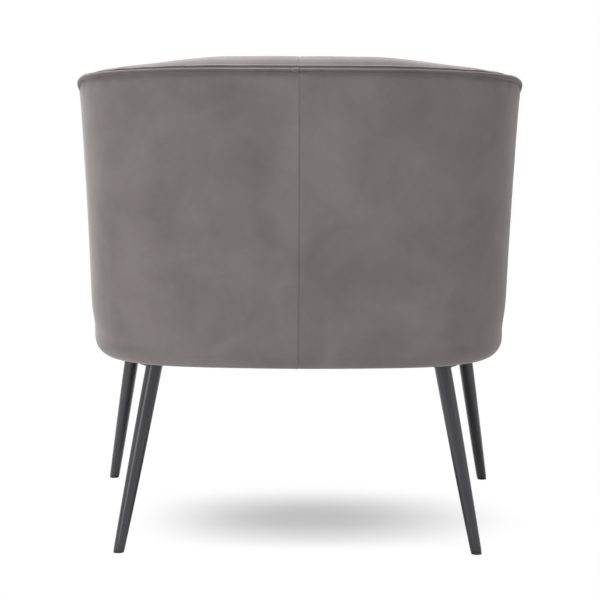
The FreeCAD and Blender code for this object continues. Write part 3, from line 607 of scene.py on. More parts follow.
@dataclass(frozen=True)
class Wood:
    """Bare planed timber or plywood, with a grain along its length."""

    timber: Timber
    stretch: tuple[float, float, float] = (0.12, 1.0, 1.0)
    fibre_mm: float = 1.111
    fibre_weight: float = 0.4
    fibre_relief: float = 0.1 * MM

    def material(self) -> Material:
        """Builds the finish: wavy rings and fine fibres, drawn out along the length."""
        # To the eye: warm bare wood with long grain lines, where the covers are taken off
        name, dark, light, ring_mm = self.timber.value
        material, tree, place = new_finish(name)
        drawn = add(tree, "ShaderNodeMapping", {"Vector": place, "Scale": self.stretch})
        grain = add(tree, "ShaderNodeTexWave", {
            "Vector": drawn, "Scale": BAND_SCALE / (ring_mm * MM), "Distortion": 6.0, "Detail": 3.0,
            "Detail Scale": 1.5}, bands_direction="Z")
        fibre = add(tree, "ShaderNodeTexNoise", {"Vector": drawn, "Scale": 1 / (self.fibre_mm * MM)})
        mixed = add(tree, "ShaderNodeMath", {
            0: fibre, 1: self.fibre_weight, 2: grain.outputs["Fac"]}, operation="MULTIPLY_ADD")
        close_finish(tree, (dark, light), mixed, (fibre, 0.3, self.fibre_relief), {"Roughness": 0.62})
        return material


class Stuffing(Enum):
    """Soft hidden stuffs: name, dark and light shade, grain in mm, relief in mm."""

    FOAM = ("cut_foam", "#d8cda4", "#ece4c6", 1.5, 0.35)
    WADDING = ("polyester_wadding", "#dedbd2", "#f2f0ea", 3.0, 0.8)
    CARD = ("card_and_wadding", "#b3a58c", "#cabfa9", 2.0, 0.2)
    FELT = ("pressed_felt", "#6f6f72", "#8d8d90", 1.2, 0.3)
    DUST_CLOTH = ("spunbond_cloth", "#151516", "#26262a", 1.6, 0.25)


@dataclass(frozen=True)
class Matted:
    """Matt stuff of fibres or cells, such as foam, felt or spunbond cloth."""

    stuffing: Stuffing
    cloud_cells: float = 5.0
    cell_weight: float = 0.5
    shade_range: Pair = (0.4, 1.0)

    def material(self) -> Material:
        """Builds the finish: small cells, in clouds a few cells across."""
        # To the eye: a dead matt surface with a fine crumb, pale for foam and near black for dust cloth
        name, dark, light, grain_mm, relief_mm = self.stuffing.value
        material, tree, place = new_finish(name)
        cells = add(tree, "ShaderNodeTexVoronoi", {"Vector": place, "Scale": 1 / (grain_mm * MM)})
        cloud = add(tree, "ShaderNodeTexNoise", {
            "Vector": place, "Detail": 4.0, "Scale": 1 / (self.cloud_cells * grain_mm * MM)})
        mixed = add(tree, "ShaderNodeMath", {
            0: cells, 1: self.cell_weight, 2: cloud}, operation="MULTIPLY_ADD")
        low, high = self.shade_range
        share = add(tree, "ShaderNodeMapRange", {"Value": mixed, "From Min": low, "From Max": high})
        close_finish(tree, (dark, light), share, (mixed, 0.5, relief_mm * MM), {
            "Roughness": 0.95, "Specular IOR Level": 0.2})
        return material


class Metal(Enum):
    """Bare or plated steel: name, colour, roughness, scratch spacing in mm."""

    SPRING_WIRE = ("oiled_spring_wire", "#6f7072", 0.42, 2.0)
    ZINC = ("bright_zinc", "#b9bcc0", 0.30, 1.0)


@dataclass(frozen=True)
class Steel:
    """Steel wire, sheet or screw, with fine drawn scratches."""

    metal: Metal
    dulled: str = "#8f9296"
    stretch: tuple[float, float, float] = (1.0, 0.15, 1.0)
    smoother: float = 0.08
    rougher: float = 0.12
    scratch_relief: float = 0.05 * MM

    def material(self) -> Material:
        """Builds the finish: scratches that change its colour, gloss and relief."""
        # To the eye: small bright glints, drawn out along the wire
        name, colour, rough, scratch_mm = self.metal.value
        material, tree, place = new_finish(name)
        drawn = add(tree, "ShaderNodeMapping", {"Vector": place, "Scale": self.stretch})
        marks = add(tree, "ShaderNodeTexNoise", {
            "Vector": drawn, "Detail": 3.0, "Scale": 1 / (scratch_mm * MM)})
        gloss = add(tree, "ShaderNodeMapRange", {
            "Value": marks, "To Min": rough - self.smoother, "To Max": rough + self.rougher})
        close_finish(tree, (colour, self.dulled), marks, (marks, 0.2, self.scratch_relief), {
            "Roughness": gloss, "Metallic": 1.0})
        return material


@dataclass(frozen=True)
class MouldedNylon:
    """Black nylon glide, moulded with a fine spark-eroded grain."""

    dark: str = "#151517"
    light: str = "#202124"
    grain_mm: float = 0.8
    grain_relief: float = 0.06 * MM

    def material(self) -> Material:
        """Builds the finish: the mould's grain, in shade and relief."""
        # To the eye: a duller, darker slice where the leg meets the floor
        material, tree, place = new_finish("moulded_nylon")
        grain = add(tree, "ShaderNodeTexNoise", {
            "Vector": place, "Detail": 2.0, "Scale": 1 / (self.grain_mm * MM)})
        close_finish(tree, (self.dark, self.light), grain, (grain, 0.3, self.grain_relief), {
            "Roughness": 0.55})
        return material


@dataclass(frozen=True)
class Thread:
    """Bonded polyester thread, two plies, a little darker than the velvet."""

    dark: str = "#3a3533"
    light: str = "#5a5350"
    ply_mm: float = 0.5

    def material(self) -> Material:
        """Builds the finish: two plies wound round each other."""
        # To the eye: fine darker dots that pick out the seam
        material, tree, place = new_finish("polyester_thread")
        plies = add(tree, "ShaderNodeTexWave", {
            "Vector": place, "Scale": BAND_SCALE / (self.ply_mm * MM)}, bands_direction="DIAGONAL")
        close_finish(tree, (self.dark, self.light), plies.outputs["Fac"], None, {"Roughness": 0.6})
        return material


@dataclass
class Palette:
    """Every finish of the chair, built once."""

    def __post_init__(self) -> None:
        """Builds the materials."""
        self.velvet = Velvet().material()
        # The piping takes a darker copy of the same velvet: painted shade that holds down the light on its
        # lit top
        self.shaded_piping_velvet = Velvet("taupe_velvet_painted_shade", shade="#5d5857", light="#6b6664").material()
        self.thread = Thread().material()
        self.dust_cloth = Matted(Stuffing.DUST_CLOTH).material()
        self.zinc = Steel(Metal.ZINC).material()
        self.coat = PowderCoat().material()
        self.slots = {
            "taupe_velvet": self.velvet,
            "black_steel": self.coat,
            "plywood": Wood(Timber.PLYWOOD).material(),
            "solid_wood": Wood(Timber.BEECH).material(),
            "foam": Matted(Stuffing.FOAM).material(),
            "wadding": Matted(Stuffing.WADDING).material(),
            "card_liner": Matted(Stuffing.CARD).material(),
            "felt": Matted(Stuffing.FELT).material(),
            "spring_steel": Steel(Metal.SPRING_WIRE).material(),
            "plated_steel": self.zinc,
            "dust_cloth": self.dust_cloth,
            "black_plastic": MouldedNylon().material(),
        }

    def dress_nodes(self) -> None:
        """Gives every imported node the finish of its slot."""
        for entry in frame["record"]["subparts"]:
            node = frame["nodes"][entry["node"]]
            for holder in node.material_slots:
                holder.material = self.slots[entry["material_slot"]]


# Repeated things, by node trees
def tree_with(name: str, values: dict[str, object]) -> tuple[NodeTree, Node]:
    """Starts a geometry tree.

    Args:
        name: The tree's name.
        values: Numbers, and objects for patterns, by the input's name.

    Returns:
        The tree and its input node.
    """
    tree = bpy.data.node_groups.new(name, "GeometryNodeTree")
    tree.interface.new_socket(name="Geometry", in_out="INPUT", socket_type="NodeSocketGeometry")
    for label, value in values.items():
        kind = "NodeSocketObject" if isinstance(value, Object) else "NodeSocketFloat"
        tree.interface.new_socket(name=label, in_out="INPUT", socket_type=kind).default_value = value
    tree.interface.new_socket(name="Geometry", in_out="OUTPUT", socket_type="NodeSocketGeometry")
    return tree, add(tree, "NodeGroupInput")


def close_tree(tree: NodeTree, instances: Node,
               material: Material) -> None:
    """Ends a tree by making its instances real and giving them their finish."""
    real = add(tree, "GeometryNodeRealizeInstances", {"Geometry": instances})
    dressed = add(tree, "GeometryNodeSetMaterial", {"Geometry": real, "Material": material})
    add(tree, "NodeGroupOutput", {"Geometry": dressed})


def grow(piece: Object, tree: NodeTree, values: dict[str, object]) -> Object:
    """Runs a tree on an object, with its named inputs set, and keeps the plain mesh.

    Args:
        piece: The object that carries the tree's points or path.
        tree: The geometry tree.
        values: Values of the named inputs.

    Returns:
        The object with its grown mesh.
    """
    modifier = piece.modifiers.new(tree.name, "NODES")
    modifier.node_group = tree
    for item in tree.interface.items_tree:
        if item.item_type == "SOCKET" and item.in_out == "INPUT" and item.name in values:
            modifier[item.identifier] = values[item.name]
    return plain(piece)


@dataclass
class StitchRow:
    """Row of thread stitches along a path, sunk a little into the cloth."""

    pitch: float = 4.3 * MM
    length: float = 2.3 * MM
    radius: float = 0.45 * MM
    segments: int = 8
    rings: int = 5

    def build(self, name: str, path: Sequence[Vector], thread: Material) -> Object:
        """Grows the stitches.

        Args:
            name: The piece's name.
            path: Places along the seam.
            thread: The finish.

        Returns:
            The stitches as one piece.
        """
        piece = line_object(name, path, [(at, at + 1) for at in range(len(path) - 1)])
        values = {"Pitch": self.pitch, "Length": self.length, "Radius": self.radius}
        tree, given = tree_with(f"{name}_tree", values)
        curve = add(tree, "GeometryNodeMeshToCurve", {"Mesh": given.outputs["Geometry"]})
        points = add(tree, "GeometryNodeCurveToPoints", {
            "Curve": curve, "Length": given.outputs["Pitch"]}, mode="LENGTH")
        bead = add(tree, "GeometryNodeMeshUVSphere", {
            "Segments": self.segments, "Rings": self.rings, "Radius": 1.0})
        half = add(tree, "ShaderNodeMath", {0: given.outputs["Length"], 1: 0.5}, operation="MULTIPLY")
        size = add(tree, "ShaderNodeCombineXYZ", {
            "X": half, "Y": given.outputs["Radius"], "Z": given.outputs["Radius"]})
        turned = add(tree, "FunctionNodeAlignRotationToVector", {
            "Vector": points.outputs["Tangent"]}, axis="X")
        placed = add(tree, "GeometryNodeInstanceOnPoints", {
            "Points": points, "Instance": bead, "Rotation": turned, "Scale": size})
        close_tree(tree, placed, thread)
        return grow(piece, tree, values)


@dataclass
class CoveredCord:
    """Piping: a cord in a velvet sleeve, slightly uneven from its sewing."""

    radius: float = 2.2 * MM
    unevenness: float = 0.28 * MM
    uneven_mm: float = 14.0
    step: float = 1.5 * MM
    sides: int = 14

    def build(self, name: str, path: Sequence[Vector], swell: Sequence[float],
              velvet: Material, seed: float) -> Object:
        """Grows the piping along its path.

        Args:
            name: The piece's name.
            path: Places along its middle.
            swell: How much fuller the sleeve is at each place.
            velvet: The finish.
            seed: Picks the pattern of its unevenness.

        Returns:
            The piping.
        """
        piece = line_object(name, path, [(at, at + 1) for at in range(len(path) - 1)])
        piece.data.attributes.new("swell", "FLOAT", "POINT").data.foreach_set("value", swell)
        values = {"Radius": self.radius, "Step": self.step, "Unevenness": self.unevenness, "Seed": seed}
        tree, given = tree_with(f"{name}_tree", values)
        curve = add(tree, "GeometryNodeMeshToCurve", {"Mesh": given.outputs["Geometry"]})
        even = add(tree, "GeometryNodeResampleCurve", {
            "Curve": curve, "Length": given.outputs["Step"]}, mode="LENGTH")
        ring = add(tree, "GeometryNodeCurvePrimitiveCircle", {
            "Resolution": self.sides, "Radius": given.outputs["Radius"]})
        tube = add(tree, "GeometryNodeCurveToMesh", {
            "Curve": even, "Profile Curve": ring, "Fill Caps": True})
        grain = add(tree, "ShaderNodeTexNoise", {
            "Scale": 1 / (self.uneven_mm * MM), "Detail": 3.0,
            "W": given.outputs["Seed"]}, noise_dimensions="4D")
        centred = add(tree, "ShaderNodeMath", {0: grain, 1: 0.5}, operation="SUBTRACT")
        amount = add(tree, "ShaderNodeMath", {
            0: centred, 1: given.outputs["Unevenness"]}, operation="MULTIPLY")
        fuller = add(tree, "GeometryNodeInputNamedAttribute", {"Name": "swell"}, data_type="FLOAT")
        # Centred noise reaches half of 1, so it is doubled
        doubled = add(tree, "ShaderNodeMath", {
            0: amount, 1: 2.0, 2: fuller.outputs["Attribute"]}, operation="MULTIPLY_ADD")
        outward = add(tree, "GeometryNodeInputNormal")
        offset = add(tree, "ShaderNodeVectorMath", {0: outward, "Scale": doubled}, operation="SCALE")
        moved = add(tree, "GeometryNodeSetPosition", {"Geometry": tube, "Offset": offset})
        close_tree(tree, moved, velvet)
        return grow(piece, tree, values)


def scattered(name: str, places: Sequence[Vector], headings: Sequence[Vector], pattern: Object,
              material: Material) -> Object:
    """Grows a copy of a pattern at each place, with its X turned along a heading.

    Args:
        name: The piece's name.
        places: Where each copy stands.
        headings: Which way each copy's X points.
        pattern: The object that is copied; it is removed afterwards.
        material: The finish.

    Returns:
        All the copies as one piece.
    """
    piece = line_object(name, places, [])
    heading = piece.data.attributes.new("heading", "FLOAT_VECTOR", "POINT")
    heading.data.foreach_set("vector", [value for way in headings for value in way])
    values = {"Pattern": pattern, "Size": 1.0}
    tree, given = tree_with(f"{name}_tree", values)
    source = add(tree, "GeometryNodeObjectInfo", {"Object": given.outputs["Pattern"]})
    spots = add(tree, "GeometryNodeMeshToPoints", {"Mesh": given.outputs["Geometry"]})
    way = add(tree, "GeometryNodeInputNamedAttribute", {"Name": "heading"}, data_type="FLOAT_VECTOR")
    turned = add(tree, "FunctionNodeAlignRotationToVector", {"Vector": way.outputs["Attribute"]}, axis="X")
    size = add(tree, "ShaderNodeCombineXYZ", {axis: given.outputs["Size"] for axis in "XYZ"})
    placed = add(tree, "GeometryNodeInstanceOnPoints", {
        "Points": spots, "Instance": source.outputs["Geometry"], "Rotation": turned, "Scale": size})
    close_tree(tree, placed, material)
    grown = grow(piece, tree, values)
    bpy.data.objects.remove(pattern)
    return grown


# Covers of the shell
@dataclass(frozen=True)
class Waves:
    """Slow unevenness, as of padding that is filled by hand."""

    height: float
    scale: tuple[float, float, float]
    seed: float

    def over(self, points: np.ndarray) -> np.ndarray:
        """Height of the waves at each point."""
        return self.height * ripple(points, self.scale, self.seed)


@dataclass(frozen=True)
class Folds:
    """Small folds side by side along the piping, strongest round the rear corner.

    The stray is in radians: how far the folds leave their even pitch.
    """

    height: float
    pitch: float
    stray: Waves
    runs: Pair
    fade: float
    down: float
    reach: float
    elsewhere: float = 0.0

    def over(self, points: np.ndarray, run: np.ndarray, away: np.ndarray) -> np.ndarray:
        """Works out the height of the folds.

        Args:
            points: The cover's grid.
            run: Distance of each column round the rim line.
            away: Distance of each point from the piping.

        Returns:
            The height at each point.
        """
        first, last = self.runs
        rounded = np.clip((run - first) / self.fade, 0, 1) * np.clip((last - run) / self.fade, 0, 1)
        strength = self.elsewhere + (1 - self.elsewhere) * rounded
        wave = np.sin(run / self.pitch + self.stray.over(points))
        return self.height * wave * strength * bell(away - self.down, self.reach)


def cover_points(form: ShellForm, runs: Sequence[float], hand: int,
                 profile: Callable[[Section], list[Pair]]) -> np.ndarray:
    """Grid of a cover's points: a column at each run, with a profile's places down its section."""
    sections = [Section(form, run, hand) for run in runs]
    return np.array([[section.point(*place) for place in profile(section)] for section in sections])


@dataclass
class OutsideCovers:
    """Two velvet panels round the outside, sewn together down the middle of the back."""

    form: ShellForm
    # The seam, whose allowances lie under it as a low ridge
    seam_depth: float = 0.35 * MM
    seam_reach: float = 1.2 * MM
    seam_lap: float = 0.4 * MM
    seam_lap_reach: float = 2.4 * MM
    seam_ridge: float = 1.4 * MM
    seam_ridge_reach: float = 15 * MM
    seam_ridge_fade: float = 30 * MM
    stitch_row: int = 8
    # The velvet's upper edge, wrapped round the back of the piping and drawn in below it
    wrap_radius: float = 2.1 * MM
    wrap_end: Pair = (1.9 * MM, 0.2 * MM)
    wrap_degrees: tuple[float, ...] = (190, 208, 226)
    tuck: float = 1.1 * MM
    tuck_reach: float = 8 * MM
    tuck_end_reach: float = 20 * MM
    crevice: float = 0.6 * MM
    crevice_reach: float = 2.2 * MM
    corner_crevice: float = 1.1 * MM
    gathers: Folds = Folds(height=0.6 * MM, pitch=6.5 * MM, stray=Waves(2.5, (9, 9, 3), 7.7),
                           runs=(0.22, 0.50), fade=0.05, down=12 * MM, reach=8 * MM)
    hem: float = 1.2 * MM
    hem_reach: float = 3 * MM
    # The padding: full on the back, flatter on the sides, with a waist
    fill: float = 1.2 * MM
    side_fill: float = -2.2 * MM
    side_runs: Pair = (0.12, 0.40)
    fill_shares: Pair = (0.03, 0.83)
    fill_power: float = 0.6
    fill_reaches: Pair = (40 * MM, 30 * MM)
    waves: tuple[Waves, ...] = (Waves(0.7 * MM, (5.5, 5.5, 4.0), 3.1), Waves(0.245 * MM, (22, 22, 11), 8.7))
    waist: float = 4.0 * MM
    waist_run: float = 0.42
    waist_up: float = 0.350
    waist_reaches: Pair = (0.13, 28 * MM)
    # The lower edge, which sags a little past the frame, most at the rear corners
    sag: float = 1.3 * MM
    sag_start_share: float = 0.2
    corner_sag: float = 1.6 * MM
    corner_run: float = 0.36
    corner_reach: float = 0.11
    # The card and wadding, clear of the panel's tucks
    liner_inset: float = 8.5 * MM
    liner_thickness: float = 2.5 * MM
    liner_rows_down: int = 2
    # The grid of each panel
    column: float = 6.5 * MM
    wall_rows: int = 72
    wall_power: float = 1.06
    round_rows: int = 16
    flap_shares: tuple[float, ...] = (0.25, 0.5, 0.75, 1.0)

    @property
    def wrap_rows(self) -> int:
        """How many rows lie behind the piping."""
        return 1 + len(self.wrap_degrees)

    def profile(self, section: Section) -> list[Pair]:
        """Places down one section: round the back of the piping, down the wall and under the base.

        Args:
            section: The section.

        Returns:
            Pairs of out and height.
        """
        reach = self.wrap_radius
        back, drop = self.wrap_end
        places = [(-reach - back, section.rim - drop)]
        for turn in map(math.radians, self.wrap_degrees):
            places.append((reach * math.cos(turn), section.rim + reach * math.sin(turn)))
        rows = self.wall_rows
        places += [section.wall_at((number / rows) ** self.wall_power) for number in range(rows + 1)]
        for number in range(1, self.round_rows + 1):
            angle = section.tilt + (math.pi / 2 - section.tilt) * number / self.round_rows
            places.append(section.under_at(angle))
        flap = self.form.turn_under
        places += [(section.under_out - flap * share, self.form.body_bottom) for share in self.flap_shares]
        return places

    def relief(self, points: np.ndarray, run: np.ndarray, hand: int) -> np.ndarray:
        """Works out how far the padding, the seam and the tucks move a panel's points outwards.

        Args:
            points: The panel's grid.
            run: Distance of each column round the rim line.
            hand: 1 on the left, -1 on the right.

        Returns:
            The distance for each point.
        """
        end = self.form.rim_run - run
        height = points[..., 2]
        rows = points.shape[1]
        first, last = self.fill_shares
        held = np.clip((np.linspace(0, 1, rows)[None, :] - first) / (last - first), 0, 1)
        held = np.sin(held * np.pi) ** self.fill_power
        seam_reach, end_reach = self.fill_reaches
        edges = (1 - bell(run, seam_reach)) * (1 - bell(end, end_reach))
        first, last = self.side_runs
        share = np.clip((run - first) / (last - first), 0, 1)
        amount = (self.fill + (self.side_fill - self.fill) * share) * held * edges
        for waves in self.waves:
            amount += waves.over(points) * held
        along_reach, up_reach = self.waist_reaches
        waist = bell(run - self.waist_run, along_reach) * bell(height - self.waist_up, up_reach)
        amount -= self.waist * waist
        corner = bell(run - self.corner_run, self.corner_reach)
        foot = self.wrap_rows + self.wall_rows
        under = (np.arange(rows) - foot) / (self.round_rows + len(self.flap_shares) - 1)
        under = np.clip((under - self.sag_start_share) / (1 - self.sag_start_share), 0, 1)
        amount += (self.sag + self.corner_sag * corner) * np.sin(under * np.pi)[None, :]
        upright = np.clip((height - self.form.body_bottom) / self.seam_ridge_fade, 0, 1)
        amount += self.seam_ridge * upright * bell(run, self.seam_ridge_reach)
        amount -= self.seam_depth * bell(run, self.seam_reach)
        # The left panel is lapped over the right one
        if hand > 0:
            amount += self.seam_lap * bell(run - self.seam_lap_reach, self.seam_lap_reach)
        else:
            amount -= self.seam_lap / 2 * bell(run, self.seam_lap_reach)
        below = height[:, self.wrap_rows][:, None] - height
        crevice = self.crevice + self.corner_crevice * corner
        tuck = self.tuck * bell(below, self.tuck_reach) + crevice * bell(below, self.crevice_reach)
        amount -= tuck * (1 - bell(end, self.tuck_end_reach))
        amount += self.gathers.over(points, run, below)
        amount -= self.hem * bell(end, self.hem_reach)
        amount[:, :self.wrap_rows] = 0
        return amount

    def liner(self, side: str, points: np.ndarray, flip: bool, card: Material) -> Object:
        """Makes the card and wadding behind one panel.

        Args:
            side: Left or right.
            points: The panel's grid before it is shaped.
            flip: Whether the grid's faces are turned round.
            card: The finish.

        Returns:
            The liner.
        """
        first = self.wrap_rows + self.liner_rows_down
        grid = ClothGrid(points[1:-1, first:-self.round_rows - len(self.flap_shares)], flip)
        grid.push(np.full(grid.points.shape[:2], -self.liner_inset))
        liner = grid.build(f"card_and_wadding_{side}", card, self.liner_thickness)
        return fitted(liner, "card_liner", f"outside_liner_{side}")

    def build(self, velvet: Material, card: Material) -> list[Object]:
        """Makes both panels and their liners.

        Args:
            velvet: The finish of the panels.
            card: The finish of the liners.

        Returns:
            The left and the right panel.
        """
        runs = spaced(0, self.form.rim_run, self.column, FINE_RUNS)
        panels = []
        for side, hand in SIDES.items():
            points = cover_points(self.form, runs, hand, self.profile)
            self.liner(side, points, hand > 0, card)
            grid = ClothGrid(points, flip=hand > 0)
            grid.push(self.relief(points, np.array(runs)[:, None], hand))
            grid.points[0, :, 0] = 0
            if hand < 0:
                self.seam_line = [Vector(place) for place in grid.points[1, self.wrap_rows:-self.round_rows]]
            panel = grid.build(f"outside_panel_{side}", velvet, self.form.cloth)
            fitted(panel, "taupe_velvet", f"outside_cover_{side}")
            panels.append(panel)
        return panels

    def seam_path(self) -> list[Vector]:
        """Line of the stitches down the seam, from where they show below the piping."""
        return self.seam_line[self.stitch_row:]


@dataclass
class InsideCovers:
    """Velvet over the roll and down the inside of the back and arms, with a seam at the middle."""

    form: ShellForm
    # The crest beside the piping: a groove, then the lip that the cover makes over its padding
    groove_at: float = 6.6 * MM
    groove: float = 0.8 * MM
    groove_width: float = 1.8 * MM
    lip_at: float = 9.8 * MM
    lip: float = 1.4 * MM
    lip_width: float = 1.2 * MM
    # The roll's filling, which is fuller outside and lower inside round the rear corners
    roll_fill: float = 2.2 * MM
    roll_at: float = 22 * MM
    roll_reach: float = 11 * MM
    corner_run: float = 0.36
    corner_reach: float = 0.16
    corner_lip: float = 1.6 * MM
    corner_lip_at: float = 17 * MM
    corner_lip_reach: float = 8 * MM
    corner_slack_share: float = 0.7
    shoulder: float = 4.0 * MM
    shoulder_run: float = 0.37
    shoulder_reach: float = 95 * MM
    shoulder_at: float = 46 * MM
    shoulder_width: float = 28 * MM
    roll_waves: Waves = Waves(0.9 * MM, (5, 5, 7), 1.7)
    roll_waves_start: float = 20 * MM
    puckers: Folds = Folds(height=0.5 * MM, pitch=9 * MM, stray=Waves(2.2, (7, 7, 7), 5.5), runs=(0.19, 0.50),
                           fade=0.06, down=9 * MM, reach=16 * MM, elsewhere=0.25)
    # The inside face, full above the seat and less so near the arm fronts
    fullness: float = 6 * MM
    fullness_power: float = 1.2
    fullness_end_share: float = 0.5
    fullness_end_reach: float = 0.12
    seat_clearance: float = 6 * MM
    seat_fade: float = 0.10
    face_waves: Waves = Waves(0.5 * MM, (13, 13, 24), 6.3)
    # The seam at the middle of the back
    seam_depth: float = 0.6 * MM
    seam_reach: float = 1.8 * MM
    seam_fill: float = 0.7 * MM
    seam_fill_reach: float = 90 * MM
    seam_dip_share: float = 0.7
    seam_dip_reach: float = 22 * MM
    hem: float = 1.0 * MM
    hem_reach: float = 3 * MM
    # The foam, clear of the cover's tucks
    foam_inset: float = 9 * MM
    foam_thickness: float = 11 * MM
    foam_first_row: int = 6
    # The grid of each half
    column: float = 6.5 * MM
    outer_rows: int = 56
    outer_power: float = 1.3
    inner_rows: int = 22
    face_rows: int = 44

    def profile(self, section: Section) -> list[Pair]:
        """Places over one section, from the piping over the crest and down to the seat's foot.

        Args:
            section: The section.

        Returns:
            Pairs of out and height.
        """
        rows = self.outer_rows
        places = [section.outer_arc((number / rows) ** self.outer_power) for number in range(rows + 1)]
        places += [section.inner_arc(number / self.inner_rows) for number in range(1, self.inner_rows + 1)]
        top = section.inner_arc(1)[1]
        drop = top - self.form.seat_bottom
        rows = self.face_rows
        places += [section.inside(top - drop * number / rows) for number in range(1, rows + 1)]
        return places

    def relief(self, points: np.ndarray, run: np.ndarray) -> np.ndarray:
        """Works out how far the padding, the seam and the tucks move a half's points outwards.

        Args:
            points: The half's grid.
            run: Distance of each column round the rim line.

        Returns:
            The distance for each point.
        """
        end = self.form.rim_run - run
        height = points[..., 2]
        steps = np.linalg.norm(np.diff(points, axis=1), axis=2)
        along = np.concatenate([np.zeros((len(run), 1)), np.cumsum(steps, axis=1)], axis=1)
        top = height[:, self.outer_rows + self.inner_rows][:, None]
        below = np.clip((top - height) / (top - self.form.seat_bottom), 0, 1)
        seat_top = self.form.seat_bottom + self.form.seat_side + self.seat_clearance
        clear = np.clip((height - seat_top) / self.seat_fade, 0, 1)
        ending = 1 - self.fullness_end_share * bell(end, self.fullness_end_reach)
        amount = self.fullness * np.sin(below * np.pi) ** self.fullness_power * clear * ending
        corner = bell(run - self.corner_run, self.corner_reach)
        amount += (self.lip + self.corner_lip * corner) * bell(along - self.lip_at, self.lip_width)
        amount += self.corner_lip * corner * bell(along - self.corner_lip_at, self.corner_lip_reach)
        amount -= self.groove * bell(along - self.groove_at, self.groove_width)
        filled = self.roll_fill * (1 - self.corner_slack_share * corner)
        amount += filled * bell(along - self.roll_at, self.roll_reach)
        lowered = self.shoulder * bell(run - self.shoulder_run, self.shoulder_reach)
        amount -= lowered * bell(along - self.shoulder_at, self.shoulder_width)
        amount += self.puckers.over(points, run, along)
        amount += self.roll_waves.over(points) * (1 - bell(along, self.roll_waves_start))
        amount += self.face_waves.over(points) * below
        dip = self.seam_dip_share * bell(run, self.seam_dip_reach)
        amount += self.seam_fill * (bell(run, self.seam_fill_reach) - dip)
        amount -= self.seam_depth * bell(run, self.seam_reach)
        amount -= self.hem * bell(end, self.hem_reach)
        return amount

    def foam(self, side: str, points: np.ndarray, flip: bool, cells: Material) -> Object:
        """Makes the foam under one half; the left one stands for the foam of the back too.

        Args:
            side: Left or right.
            points: The half's grid before it is shaped.
            flip: Whether the grid's faces are turned round.
            cells: The finish.

        Returns:
            The foam.
        """
        grid = ClothGrid(points[1:-1, self.foam_first_row:-1], flip)
        grid.push(np.full(grid.points.shape[:2], -self.foam_inset))
        stands_for = [f"arm_foam_{side}"] + (["inside_back_foam"] if side == "left" else [])
        foam = fitted(grid.build(f"cut_foam_{side}", cells, self.foam_thickness), "foam", *stands_for)
        return foam

    def build(self, velvet: Material, cells: Material) -> list[Object]:
        """Makes both halves and the foam under them.

        Args:
            velvet: The finish of the covers.
            cells: The finish of the foam.

        Returns:
            The left and the right half.
        """
        runs = spaced(0, self.form.rim_run, self.column, FINE_RUNS)
        halves = []
        for side, hand in SIDES.items():
            points = cover_points(self.form, runs, hand, self.profile)
            self.foam(side, points, hand < 0, cells)
            grid = ClothGrid(points, flip=hand < 0)
            grid.push(self.relief(points, np.array(runs)[:, None]))
            grid.points[0, :, 0] = 0
            half = grid.build(f"inside_panel_{side}", velvet, self.form.cloth)
            fitted(half, "taupe_velvet", f"inside_cover_{side}")
            halves.append(half)
        return halves


